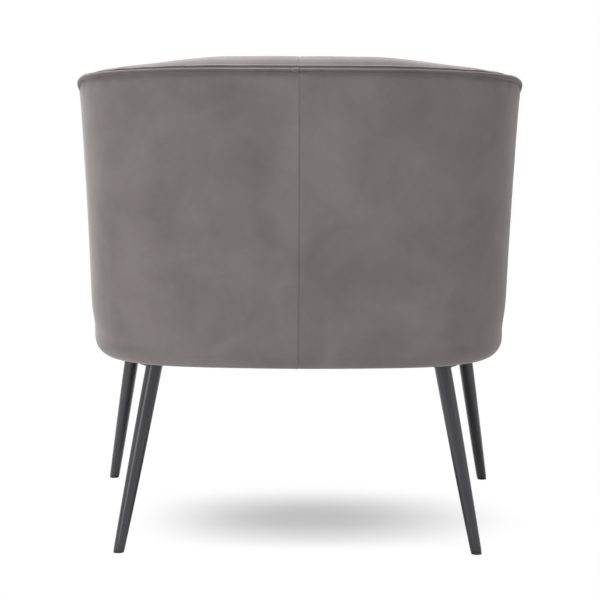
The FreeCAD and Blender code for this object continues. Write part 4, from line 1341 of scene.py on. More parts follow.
@dataclass
class RimPiping:
    """Piping round the rim and down the front edge of each outside panel."""

    form: ShellForm
    drop: float = 0.3 * MM
    # The join at the middle of the back, where one sleeve is folded over the other
    overlap: float = 0.5 * MM
    sleeve_runs: Pair = (0.8 * MM, 12 * MM)
    sleeve: float = 1.6 * MM
    sleeve_ramp: float = 1.0 * MM
    sleeve_sink: float = 0.5 * MM
    sleeve_slant: float = 0.5
    sleeve_depth: float = 6 * MM
    # The rear corners, where the cloth gathers and is folded
    corner_swell: float = 2.2 * MM
    corner_inset: float = 1.4 * MM
    corner_run: float = 0.40
    corner_reach: float = 0.11
    puckers: tuple[float, ...] = (0.262, 0.312, 0.347, 0.405)
    pucker_depth: float = 0.55 * MM
    pucker_reach: float = 2.6 * MM
    # The turn at the arm's top and the tail under the frame: places inwards and back
    turn_bulge: float = 1.2 * MM
    turn_shares: tuple[float, ...] = (0.15, 0.4, 0.65, 0.85)
    tail: tuple[Pair, ...] = ((4 * MM, 0.5 * MM), (8 * MM, 3 * MM), (11 * MM, 7 * MM),
                                             (13 * MM, 14 * MM))
    count: int = 450
    down_count: int = 40
    under_count: int = 12
    seed: float = 2.0

    def swell(self, places: int) -> list[float]:
        """How much fuller the sleeve is at each place of the path.

        Args:
            places: How many places the path has.

        Returns:
            The added radius at each.
        """
        runs = [self.form.rim_run * at / self.count for at in range(places)]
        swells = []
        for run in runs:
            fuller = self.corner_swell * math.exp(-((run - self.corner_run) / self.corner_reach) ** 2)
            # The sleeve is pulled in where its cloth is folded to go round the corner
            tight = sum(math.exp(-((run - at) / self.pucker_reach) ** 2) for at in self.puckers)
            swells.append(fuller - self.pucker_depth * tight)
        return swells

    def path(self, hand: int) -> list[Vector]:
        """Middle of the piping on one side.

        Args:
            hand: 1 on the left, -1 on the right.

        Returns:
            Its places, from the middle of the back.
        """
        form, count = self.form, self.count
        start = -hand * self.overlap
        sections = [Section(form, start + (form.rim_run - start) * at / count, hand)
                    for at in range(count + 1)]
        places = []
        for section, fuller in zip(sections, self.swell(count + 1)):
            inset = self.corner_inset * fuller / self.corner_swell
            places.append(section.point(-inset, section.rim - self.drop))
        end = sections[-1]
        ahead = end.forward * (form.piping_radius + form.fit)
        slope = (places[-1] - places[-2]).normalized()
        corner = places[-1] + slope * form.piping_radius
        steps = self.down_count
        down = [end.point(*end.wall_at(at / steps)) + ahead for at in range(1, steps + 1)]
        steps = self.under_count
        under = [end.point(*end.under_at(end.tilt + (math.pi / 2 - end.tilt) * at / steps)) + ahead
                 for at in range(1, steps + 1)]
        # A tight turn, as the sewn cord makes at the arm's top
        turn = [corner.lerp(down[0], share) + slope * self.turn_bulge * math.sin(math.pi * share)
                for share in self.turn_shares]
        # Its tail turns back under the frame, where it is stapled
        tail = [under[-1] - end.normal * inward - end.forward * back for inward, back in self.tail]
        return places + turn + down + under + tail

    def build(self, velvet: Material) -> list[Object]:
        """Makes both lengths, and the lapped join at the middle of the back.

        Args:
            velvet: The finish.

        Returns:
            The left and the right length.
        """
        lengths = []
        for side, hand in SIDES.items():
            path = self.path(hand)
            swell = self.swell(len(path))
            cord = CoveredCord().build(f"piping_{side}", path, swell, velvet, self.seed + hand)
            if hand > 0:
                self.lap(cord)
            lengths.append(fitted(cord, "taupe_velvet", f"rim_piping_{side}"))
        return lengths

    def lap(self, cord: Object) -> None:
        """Swells the sleeve where its end is folded over the other length.

        Args:
            cord: The left length.
        """
        first, last = self.sleeve_runs
        middle_y, height = self.form.rim_back_y, self.form.rim_height - self.drop
        for vertex in cord.data.vertices:
            x = vertex.co.x + self.sleeve_slant * (vertex.co.z - height)
            if first < x < last and vertex.co.y > middle_y - self.sleeve_depth:
                swell = min((x - first) / self.sleeve_ramp, 1) * min((last - x) / self.sleeve_ramp, 1)
                away = (vertex.co - Vector((vertex.co.x, middle_y, height))).normalized()
                vertex.co += (away * self.sleeve - UP * self.sleeve_sink) * swell


@dataclass
class ArmFronts:
    """Crowned velvet facings on the arm fronts, inside the line of the piping."""

    form: ShellForm
    height: float = 11 * MM
    edge: float = 3.0 * MM
    soften: float = 16 * MM
    wrap: float = 12 * MM
    wave: float = 0.7 * MM
    wave_scale: Pair = (22, 14)
    wave_seed: float = 3.0
    foot_share: float = 0.7
    round_steps: int = 10
    wall_steps: int = 30
    roll_steps: int = 14
    rows: int = 76
    across: int = 22

    def outline(self, section: Section) -> list[Pair]:
        """Places round the facing, from its lower outside corner over the top to its inside.

        Args:
            section: The section at the arm's end.

        Returns:
            Pairs of out and height.
        """
        depth = self.form.piping_radius + self.form.fit
        low = self.form.body_bottom + self.form.fit
        turned = math.pi / 2 - section.tilt
        steps = self.round_steps
        places = [(section.under_out - self.foot_share * depth, low)]
        places += [section.under_at(math.pi / 2 - turned * at / steps, depth) for at in range(steps + 1)]
        foot, top, inner = places[-1], section.outer_arc(0), section.inner_arc(1)
        steps = self.wall_steps
        for share in (at / steps for at in range(1, steps + 1)):
            places.append((foot[0] + (top[0] - foot[0]) * share, foot[1] + (top[1] - foot[1]) * share))
        for arc in (section.outer_arc, section.inner_arc):
            places += [arc(at / self.roll_steps) for at in range(1, self.roll_steps + 1)]
        places += [section.inside(inner[1] + (low - inner[1]) * at / steps) for at in range(1, steps + 1)]
        return places

    def build(self, velvet: Material) -> list[Object]:
        """Makes both facings.

        Args:
            velvet: The finish.

        Returns:
            The left and the right facing.
        """
        ring = np.array(self.outline(Section(self.form, self.form.rim_run)))
        peak = int(ring[:, 1].argmax())
        outer, inner = ring[:peak + 1], ring[peak:][::-1]
        low, high = ring[:, 1].min(), ring[peak, 1]
        heights = [low + (high - low) * eased(at / self.rows) for at in range(self.rows)]
        shares = [eased(at / self.across) for at in range(self.across + 1)]
        closed = np.vstack([ring, ring[:1]])
        facings = []
        for side, hand in SIDES.items():
            grid = []
            for up in heights:
                left = np.interp(up, outer[:, 1], outer[:, 0])
                right = np.interp(up, inner[:, 1], inner[:, 0])
                spots = [(left + (right - left) * share, up) for share in shares]
                grid.append([(*spot, self.ahead(spot, closed, hand)) for spot in spots])
            facings.append(self.close(side, Section(self.form, self.form.rim_run, hand), grid, velvet))
        return facings

    def ahead(self, spot: Pair, closed: np.ndarray, hand: int) -> float:
        """How far the crowned face stands ahead of the arm's end.

        Args:
            spot: Place in the section.
            closed: The facing's closed outline.
            hand: 1 on the left, -1 on the right.

        Returns:
            The distance.
        """
        starts, ways = closed[:-1], np.diff(closed, axis=0)
        along = ((np.array(spot) - starts) * ways).sum(axis=1) / np.maximum((ways ** 2).sum(axis=1), TINY)
        nearest = starts + ways * np.clip(along, 0, 1)[:, None]
        gap = float(np.sqrt(((np.array(spot) - nearest) ** 2).sum(axis=1)).min())
        share = min(gap / self.soften, 1.0)
        across, up = self.wave_scale
        wave = noise.noise(Vector((spot[0] * across, spot[1] * up, hand * self.wave_seed)))
        crown = (self.height - self.edge) * math.sqrt(1 - (1 - share) ** 2)
        return self.edge + crown + self.wave * wave * share

    def close(self, side: str, place: Section, grid: list, velvet: Material) -> Object:
        """Joins the crowned face to its upright edge and gives it the cloth's thickness.

        Args:
            side: Left or right.
            place: The section at the arm's end.
            grid: Rows of out, height and distance ahead.
            velvet: The finish.

        Returns:
            The facing.
        """
        shape = bmesh.new()
        rows = [[shape.verts.new(place.point(out, up) + place.forward * ahead) for out, up, ahead in row]
                for row in grid]
        for lower, upper in zip(rows, rows[1:]):
            for at in range(self.across):
                shape.faces.new((lower[at], lower[at + 1], upper[at + 1], upper[at]))
        top = shape.verts.new(place.point(-self.form.crest_setback, place.crest) + place.forward * self.edge)
        for at in range(self.across):
            shape.faces.new((rows[-1][at], rows[-1][at + 1], top))
        rim = [edge for edge in shape.edges if edge.is_boundary]
        skirt = bmesh.ops.extrude_edge_only(shape, edges=rim)
        for item in (item for item in skirt["geom"] if isinstance(item, bmesh.types.BMVert)):
            out = (item.co - place.base).dot(place.normal)
            # Below the seat the velvet goes on round the panel's inner side
            inner = abs(out - place.inside(item.co.z)[0]) < self.edge and item.co.z < self.form.seat_bottom
            item.co -= place.forward * (self.edge - self.form.fit + (self.wrap if inner else 0))
        bmesh.ops.recalc_face_normals(shape, faces=shape.faces)
        centre = max(shape.faces, key=lambda face: face.calc_area())
        if centre.normal.dot(place.forward) < 0:
            bmesh.ops.reverse_faces(shape, faces=shape.faces)
        facing = mesh_object(f"arm_facing_{side}", [], [], velvet)
        shape.to_mesh(facing.data)
        shape.free()
        thicken(facing, self.form.cloth)
        fitted(facing, "taupe_velvet", f"arm_front_cover_{side}")
        return facing


@dataclass
class FrontBorder:
    """Velvet border between the arm fronts, under the seat and round the front rail."""

    form: ShellForm
    half: float = 0.2745
    face_y: float = -0.331
    rounding: float = 22 * MM
    # The upper edge, turned back under the seat: places back and down
    top_turn: tuple[Pair, ...] = ((6 * MM, 0.0), (2.0 * MM, 0.3 * MM))
    top_round: float = 3 * MM
    flap_shares: tuple[float, ...] = (0.33, 0.66, 1)
    # Both ends roll in along the arm fronts
    end_reach: float = 7 * MM
    end_depth: float = 5.5 * MM
    # The wadding under the velvet
    fill: float = 1.6 * MM
    fill_share: float = 0.6
    fill_power: float = 0.7
    fill_end_reach: float = 14 * MM
    hem: float = 1.2 * MM
    hem_reach: float = 3 * MM
    waves: Waves = Waves(0.6 * MM, (9, 1, 16), 4.4)
    column: float = 7 * MM
    face_rows: int = 16
    round_rows: int = 10

    def profile(self) -> list[Pair]:
        """Depth and height of each place down the border."""
        top, low = self.form.seat_bottom - self.form.fit, self.form.body_bottom
        places = [(self.face_y + back, top - down) for back, down in self.top_turn]
        upper, rows = top - self.top_round, self.face_rows
        places += [(self.face_y, upper - (upper - low - self.rounding) * at / rows) for at in range(rows + 1)]
        for at in range(1, self.round_rows + 1):
            angle = math.pi / 2 * at / self.round_rows
            places.append((self.face_y + self.rounding * (1 - math.cos(angle)),
                           low + self.rounding * (1 - math.sin(angle))))
        foot = self.face_y + self.rounding
        places += [(foot + self.form.turn_under * share, low) for share in self.flap_shares]
        return places

    def build(self, velvet: Material) -> Object:
        """Makes the border.

        Args:
            velvet: The finish.

        Returns:
            The border.
        """
        profile = self.profile()
        across = spaced(-self.half, self.half, self.column, FINE_RUNS)
        points = np.array([[(x, y, z) for y, z in profile] for x in across])
        grid = ClothGrid(points, flip=False)
        edge = np.minimum(points[..., 0] + self.half, self.half - points[..., 0])
        share = np.linspace(0, 1, len(profile))[None, :]
        held = np.sin(np.clip(share / self.fill_share, 0, 1) * np.pi) ** self.fill_power
        amount = self.fill * held * (1 - bell(edge, self.fill_end_reach)) + self.waves.over(points) * held
        amount -= self.hem * bell(edge, self.hem_reach)
        grid.push(amount)
        turn = 1 - np.clip(edge / self.end_reach, 0, 1)
        grid.points[..., 1] += self.end_depth * (1 - np.sqrt(1 - turn ** 2))
        border = grid.build("front_border", velvet, self.form.cloth)
        fitted(border, "taupe_velvet", "front_border_cover", "front_border_wadding")
        return border


# Seat
@dataclass
class Seat:
    """Crowned seat: a boxed velvet cover, filled by a short cloth simulation."""

    form: ShellForm
    inset: float = 2.5 * MM
    lower: float = 5 * MM
    back_wall: float = 0.112
    # How far up and how much further in each level of the foot lies
    foot_levels: tuple[Pair, ...] = ((0.0, 4 * MM), (7 * MM, 1 * MM), (20 * MM, 0.0))
    crown_share: float = 0.85
    crown_power: float = 2.6
    crown_levels: int = 8
    pole_y: float = -0.06
    rim_count: int = 60
    corner_count: int = 8
    count: int = 220
    # The filling
    voxel: float = 6 * MM
    pressure: float = 4.0
    cap: float = 8 * MM
    frames: int = 20
    pinned_height: float = 4 * MM
    # The seam round the top of the boxing, and the cover's unevenness
    seam_depth: float = 1.8 * MM
    seam_up: float = 44 * MM
    seam_reach: float = 2.6 * MM
    seam_upright: float = 1.4
    top_waves: Waves = Waves(1.0 * MM, (8, 8, 8), 2.6)
    side_waves: Waves = Waves(0.5 * MM, (26, 26, 12), 9.4)
    top_share: float = 0.2

    def edge(self, run: float, height: float, inset: float) -> Vector:
        """Place on the seat's left edge, beside the inside cover."""
        section = Section(self.form, run)
        out = section.inside(height)[0]
        return section.point(out - self.form.seat_gap - inset, height)

    def ring(self, height: float, inset: float, draw: float = 0.0) -> list[Vector]:
        """Outline of the seat at a height, drawn to its middle by a share.

        Args:
            height: Above the floor.
            inset: Distance from the covers round it.
            draw: Share of the way to its middle.

        Returns:
            Evenly spaced places.
        """
        form = self.form
        middle_y = (form.seat_front_y + form.rim_back_y - self.back_wall) / 2
        side = self.edge(form.rim_run, height, inset)
        radius = form.seat_front_radius
        front = form.seat_front_y + inset
        stop = form.rim_run - max(front + radius - form.arm_front_y, 0)
        places = [self.edge(stop * at / self.rim_count, height, inset) for at in range(self.rim_count + 1)]
        half = [place for place in places if place.y > front + radius]
        for at in range(self.corner_count + 1):
            turn = math.pi / 2 * at / self.corner_count
            across, along = radius * math.cos(turn), radius * math.sin(turn)
            half.append(Vector((side.x - radius + across, front + radius - along, height)))
        other = [Vector((-place.x, place.y, place.z)) for place in reversed(half)]
        drawn = [Vector((place.x * (1 - draw), middle_y + (place.y - middle_y) * (1 - draw), height))
                 for place in half + other[:-1]]
        return evenly(drawn, self.count)

    def block(self, velvet: Material) -> Object:
        """Closed shape of the seat before it is filled.

        Args:
            velvet: The finish.

        Returns:
            The block.
        """
        form = self.form
        shoulder = form.seat_bottom + form.seat_side
        levels = [(form.seat_bottom + up, self.inset + inward, 0.0) for up, inward in self.foot_levels]
        crown = form.seat_crown - self.lower
        for step in range(self.crown_levels + 1):
            share = (step / self.crown_levels) ** 2
            rise = (1 - (1 - share) ** self.crown_power) ** (1 / self.crown_power)
            levels.append((shoulder + crown * rise, self.inset, share * self.crown_share))
        verts = [place for level in levels for place in self.ring(*level)]
        count, low, last = self.count, len(verts), (len(levels) - 1) * self.count
        faces = ring_faces(low, count)
        verts += [Vector((0, self.pole_y, form.seat_bottom)), Vector((0, self.pole_y, shoulder + crown))]
        faces += [((at + 1) % count, at, low) for at in range(count)]
        faces += [(last + at, last + (at + 1) % count, low + 1) for at in range(count)]
        return mesh_object("seat_cushion", verts, faces, velvet)

    def fill(self, block: Object) -> None:
        """Remeshes the block and swells it as cloth under pressure, within a cap.

        Args:
            block: The block.
        """
        remesh = block.modifiers.new("even", "REMESH")
        remesh.mode = "VOXEL"
        remesh.voxel_size = self.voxel
        plain(block)
        start = np.array([tuple(vertex.co) for vertex in block.data.vertices])
        pinned = block.vertex_groups.new(name="pinned")
        held_below = self.form.seat_bottom + self.pinned_height
        pinned.add([at for at, place in enumerate(start) if place[2] < held_below], 1.0, "REPLACE")
        cloth = block.modifiers.new("filling", "CLOTH")
        settings = cloth.settings
        settings.quality = 4
        settings.mass = 0.3
        settings.tension_stiffness = 14
        settings.compression_stiffness = 12
        settings.bending_stiffness = 0.4
        settings.use_pressure = True
        settings.uniform_pressure_force = self.pressure
        settings.vertex_group_mass = "pinned"
        settings.effector_weights.gravity = 0
        cloth.collision_settings.use_collision = False
        cloth.point_cache.frame_end = self.frames
        for number in range(1, self.frames + 1):
            bpy.context.scene.frame_set(number)
        graph = bpy.context.evaluated_depsgraph_get()
        ended = np.array([tuple(vertex.co) for vertex in block.evaluated_get(graph).data.vertices])
        block.modifiers.clear()
        block.vertex_groups.clear()
        bpy.context.scene.frame_set(1)
        moved = ended - start
        length = np.linalg.norm(moved, axis=1, keepdims=True)
        moved *= np.minimum(1, self.cap / np.maximum(length, TINY))
        # The arms and the back hold the sides, so the filling shows mostly on top
        sideways = np.linalg.norm(moved[:, :2], axis=1, keepdims=True)
        moved[:, :2] *= np.minimum(1, self.inset / np.maximum(sideways, TINY))
        block.data.vertices.foreach_set("co", (start + moved).ravel())

    def sew(self, block: Object) -> None:
        """Draws in the seam round the top of the boxing, and makes the cover a little uneven.

        Args:
            block: The filled block.
        """
        mesh = block.data
        places = np.array([tuple(vertex.co) for vertex in mesh.vertices])
        normals = np.array([tuple(vertex.normal) for vertex in mesh.vertices])
        level = self.form.seat_bottom + self.seam_up
        upright = np.clip(self.seam_upright - np.abs(normals[:, 2]), 0, 1)
        amount = -self.seam_depth * bell(places[:, 2] - level, self.seam_reach) * upright
        top = np.clip(normals[:, 2], 0, 1)
        amount += self.top_waves.over(places) * top
        amount += self.side_waves.over(places) * np.clip(1 - top, self.top_share, 1)
        mesh.vertices.foreach_set("co", (places + normals * amount[:, None]).ravel())

    def build(self, velvet: Material) -> Object:
        """Makes the seat.

        Args:
            velvet: The finish.

        Returns:
            The seat.
        """
        block = self.block(velvet)
        self.fill(block)
        finer = block.modifiers.new("finer", "SUBSURF")
        finer.levels = finer.render_levels = 1
        plain(block)
        self.sew(block)
        fitted(block, "taupe_velvet", "seat_cover", "seat_foam")
        return block


# Underside
@dataclass
class Underside:
    """Dust cloth with its staples, and the heads of the leg screws."""

    form: ShellForm
    # The cloth
    inset: float = 8 * MM
    front_y: float = -0.301
    centre_y: float = -0.03
    level: float = 0.3036
    cloth: float = 0.6 * MM
    sag: float = 5 * MM
    sag_share: float = 0.72
    sag_power: float = 1.5
    ripples: float = 0.8 * MM
    ripples_to_the_metre: float = 11
    ring_shares: tuple[float, ...] = (0, 0.15, 0.3, 0.45, 0.6, 0.7, 0.78, 0.84, 0.9, 0.95, 0.98, 1.0)
    rim_count: int = 60
    # The leg plates, and the holes for them
    plate_level: float = 0.3012
    plate_reach: float = 25 * MM
    plate_play: float = 1.5 * MM
    hole_sides: int = 64
    # The staples: wire that is flattened, with places along and up it in mm
    staple_inset: float = 6 * MM
    staple_pitch: float = 62 * MM
    staple_clearance: float = 10 * MM
    staple_mm: tuple[Pair, ...] = ((-5.0, 1.2), (-4.9, 0.2), (-4.4, -0.2), (0, -0.3),
                                                  (4.4, -0.2), (4.9, 0.2), (5.0, 1.2))
    wire_half_mm: Pair = (0.55, 0.25)
    wire_sides: int = 8
    # The screws: radius and height of each ring in mm, and a cross cut into the head
    screw_circle: float = 18.5 * MM
    screws_to_a_plate: int = 4
    screw_turn: float = 1.3
    screw_turns_to_the_metre: float = 40
    screw_mm: tuple[Pair, ...] = ((0.0, -2.4), (0.6, -2.38), (1.2, -2.34), (1.7, -2.26),
                                                 (2.3, -2.1), (3.0, -1.75), (3.65, -1.15), (3.95, -0.5),
                                                 (4.0, 0.0), (2.4, 0.0), (2.4, 20.0))
    screw_sides: int = 32
    cross_reach_mm: float = 2.7
    cross_half_mm: float = 0.55
    cross_depth_mm: float = 1.5
    head_reach_mm: float = 4.0
    crown_up_mm: float = -2.0

    def outline(self, inset: float) -> list[Vector]:
        """Closed outline of the dust cloth, drawn in by a distance.

        Args:
            inset: Distance inside the base's edge.

        Returns:
            Its places.
        """
        form = self.form
        front_y = self.front_y + inset - self.inset
        stop = form.rim_run - (front_y - form.arm_front_y) / math.cos(form.side_angle)
        half = [Section(form, stop * at / self.rim_count) for at in range(self.rim_count + 1)]
        left = [section.point(section.under_out - inset, 0) for section in half]
        left[-1].y = front_y
        right = [Vector((-place.x, place.y, 0)) for place in reversed(left)]
        return left + right[:-1]

    def legs(self) -> list[Vector]:
        """Middles of the leg plates."""
        middles = []
        for side, hand in SIDES.items():
            for place in ("rear", "front"):
                low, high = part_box(f"leg_{place}_{side}")
                x = (low.x if hand > 0 else high.x) + hand * self.plate_reach
                y = low.y + self.plate_reach if place == "rear" else high.y - self.plate_reach
                middles.append(Vector((x, y, self.plate_level)))
        return middles

    def dust_cover(self, material: Material) -> Object:
        """Black cloth stapled under the base, hanging a little where nothing backs it.

        Args:
            material: The finish.

        Returns:
            The cloth.
        """
        # Anticlockwise from below, so that the cloth faces down
        line = self.outline(self.inset)[::-1]
        centre = Vector((0, self.centre_y, 0))
        count = len(line)
        verts = [centre.copy()]
        for share in self.ring_shares[1:]:
            verts += [centre.lerp(place, share) for place in line]
        faces = [(0, 1 + (at + 1) % count, 1 + at) for at in range(count)]
        faces += [tuple(at + 1 for at in face) for face in ring_faces(len(verts) - 1, count)]
        spread = [0.0] + [share for share in self.ring_shares[1:] for place in line]
        for place, share in zip(verts, spread):
            drop = self.sag * (1 - min(share / self.sag_share, 1) ** 2) ** self.sag_power
            ripples = self.ripples * noise.noise(place * self.ripples_to_the_metre) * (1 - share)
            place.z = self.level - drop + ripples
        piece = mesh_object("dust_cloth", verts, faces, material)
        thicken(piece, self.cloth)
        self.cut_round_plates(piece)
        fitted(piece, "dust_cloth", "dust_cover")
        return piece

    def cut_round_plates(self, cloth: Object) -> None:
        """Cuts the cloth clear of each leg plate.

        Args:
            cloth: The dust cloth.
        """
        reach = self.plate_reach + self.plate_play
        ways = round_ways(self.hole_sides)
        for middle in self.legs():
            verts = [middle + way * reach + UP * up for up in (-reach, reach) for way in ways]
            faces = closed_faces(len(verts), self.hole_sides)
            cutter = mesh_object("plate_cutter", verts, faces, cloth.data.materials[0])
            cut = cloth.modifiers.new("plate", "BOOLEAN")
            cut.operation = "DIFFERENCE"
            cut.object = cutter
            plain(cloth)
            bpy.data.objects.remove(cutter)

    def staples(self, zinc: Material) -> Object:
        """Staples round the cloth, clear of the leg plates.

        Args:
            zinc: The finish.

        Returns:
            All the staples as one piece.
        """
        spots = evenly(self.outline(self.inset + self.staple_inset), pitch=self.staple_pitch)
        legs = self.legs()
        places, headings = [], []
        for here, there in zip(spots, spots[1:] + spots[:1]):
            middle = here.lerp(there, 0.5)
            if all((middle - leg).xy.length > self.plate_reach + self.staple_clearance for leg in legs):
                places.append(Vector((middle.x, middle.y, self.level)))
                headings.append((there - here).normalized())
        verts, faces = self.staple_form()
        pattern = mesh_object("staple_pattern", verts, faces, zinc)
        run = scattered("dust_cloth_staples", places, headings, pattern, zinc)
        return fitted(run, "plated_steel", "dust_cover_staples")

    def staple_form(self) -> tuple[list, list]:
        """Crown of one staple: flattened wire whose ends bend up into the wood."""
        across, thick = self.wire_half_mm
        verts = [Vector((along, across * way.x, up + thick * way.y)) * MM
                 for along, up in self.staple_mm for way in round_ways(self.wire_sides)]
        return verts, closed_faces(len(verts), self.wire_sides)

    def screws(self, zinc: Material) -> Object:
        """Pan heads with a cross recess, under the leg plates.

        Args:
            zinc: The finish.

        Returns:
            All the heads as one piece.
        """
        places, headings = [], []
        for middle in self.legs():
            for number in range(self.screws_to_a_plate):
                angle = 2 * math.pi / self.screws_to_a_plate * (number + 0.5)
                places.append(middle + Vector((math.cos(angle), math.sin(angle), 0)) * self.screw_circle)
                angle += self.screw_turn * noise.noise(places[-1] * self.screw_turns_to_the_metre)
                headings.append(Vector((math.cos(angle), math.sin(angle), 0)))
        verts, faces = self.screw_form()
        pattern = mesh_object("screw_pattern", verts, faces, zinc)
        heads = scattered("leg_screw_heads", places, headings, pattern, zinc)
        return fitted(heads, "plated_steel", "leg_screws")

    def screw_form(self) -> tuple[list, list]:
        """Head and shank of one screw, head down, with a cross cut into the head."""
        sides = self.screw_sides
        verts = []
        for reach, up in self.screw_mm:
            for way in round_ways(sides):
                x, y = reach * way.x, reach * way.y
                crown = up < self.crown_up_mm and reach < self.cross_reach_mm
                cut = crown and min(abs(x), abs(y)) < self.cross_half_mm
                depth = self.cross_depth_mm * (1 - reach / self.head_reach_mm) if cut else 0.0
                verts.append(Vector((x, y, up + depth)) * MM)
        # The rings rise inside the head, so each face is turned round
        faces = [(face[0], *face[:0:-1]) for face in ring_faces(len(verts), sides)]
        return verts, faces + [tuple(range(len(verts) - sides, len(verts)))]


# Legs
@dataclass
class Legs:
    """Four splayed steel tubes, tapered and a little full, each welded to a round plate."""

    top_radius: float = 13.7 * MM
    foot_radius: float = 9.1 * MM
    fullness: float = 0.7 * MM
    foot_level: float = 4 * MM
    foot_reach: float = 8.6 * MM
    plate_radius: float = 25 * MM
    plate_thickness: float = 3 * MM
    plate_lap: float = 1 * MM
    # The worn edges: shares of the height or thickness up, and of the edge's size in
    worn_edge: float = 0.5 * MM
    foot_edge_shares: tuple[Pair, ...] = ((0.0, 1.4), (0.0008, 0.4))
    plate_edge_shares: tuple[Pair, ...] = ((0.0, 1.0), (0.3, 0.3), (1.0, 0.0))
    wall_start_share: float = 0.003
    levels: int = 28
    sides: int = 56
    crease_degrees: float = 50
    # The weld bead, rippled by the torch's steps
    bead: float = 1.0 * MM
    bead_out_share: float = 0.2
    bead_ripple_share: float = 0.12
    bead_ripples: int = 18
    bead_levels: int = 72
    bead_sides: int = 8

    def rings(self, rings: Sequence[tuple[Vector, float]]) -> tuple[list, list]:
        """Closed form through level rings, each a middle and a radius, from the lowest up."""
        verts = [middle + way * reach for middle, reach in rings for way in round_ways(self.sides)]
        return verts, closed_faces(len(verts), self.sides)

    def tube(self, foot: Vector, top: Vector) -> tuple[list, list]:
        """Tapered tube from its foot to just inside its plate.

        Args:
            foot: Middle of its lower end.
            top: Middle of its upper end.

        Returns:
            Its vertices and faces.
        """
        rings = [(foot.lerp(top, up), self.foot_radius - inward * self.worn_edge)
                 for up, inward in self.foot_edge_shares]
        for level in range(self.levels + 1):
            share = self.wall_start_share + (1 - self.wall_start_share) * level / self.levels
            reach = self.foot_radius + (self.top_radius - self.foot_radius) * share
            rings.append((foot.lerp(top, share), reach + self.fullness * 4 * share * (1 - share)))
        rings.append((top + UP * self.plate_lap, self.top_radius))
        return self.rings(rings)

    def plate(self, middle: Vector) -> tuple[list, list]:
        """Round plate with a worn lower edge.

        Args:
            middle: Middle of its lower face.

        Returns:
            Its vertices and faces.
        """
        edge = self.worn_edge
        rings = [(middle + UP * up * edge, self.plate_radius - inward * edge)
                 for up, inward in self.plate_edge_shares]
        return self.rings(rings + [(middle + UP * self.plate_thickness, self.plate_radius)])

    def weld(self, middle: Vector) -> tuple[list, list]:
        """Weld bead round the top of the tube.

        Args:
            middle: Middle of the plate's lower face.

        Returns:
            Its vertices and faces.
        """
        verts, faces = [], []
        around, sides = self.bead_levels, self.bead_sides
        for number, way in enumerate(round_ways(around)):
            wave = math.sin(2 * math.pi * number / around * self.bead_ripples)
            reach = self.bead * (1 + self.bead_ripple_share * wave)
            spot = middle + way * (self.top_radius + self.bead_out_share * self.bead)
            verts += [spot + (way * turn.x + UP * turn.y) * reach for turn in round_ways(sides)]
        for number in range(around):
            here, there = number * sides, (number + 1) % around * sides
            faces += [(here + side, there + side, there + (side + 1) % sides, here + (side + 1) % sides)
                      for side in range(sides)]
        return verts, faces

    def build(self, coat: Material, middles: Sequence[Vector]) -> list[Object]:
        """Makes the four legs.

        Args:
            coat: The finish.
            middles: Middles of the plates' lower faces, by side and then rear, front.

        Returns:
            The legs.
        """
        legs = []
        names = [(place, side) for side in SIDES for place in ("rear", "front")]
        for (place, side), middle in zip(names, middles):
            low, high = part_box(f"leg_{place}_{side}")
            x = high.x - self.foot_reach if SIDES[side] > 0 else low.x + self.foot_reach
            y = high.y - self.foot_reach if place == "rear" else low.y + self.foot_reach
            foot = Vector((x, y, self.foot_level))
            verts, faces = [], []
            for more, around in (self.tube(foot, middle), self.plate(middle), self.weld(middle)):
                faces += [tuple(len(verts) + at for at in face) for face in around]
                verts += more
            leg = mesh_object(f"tapered_leg_{place}_{side}", verts, faces, coat)
            leg.data.set_sharp_from_angle(angle=math.radians(self.crease_degrees))
            legs.append(fitted(leg, "black_steel", f"leg_{place}_{side}"))
        return legs


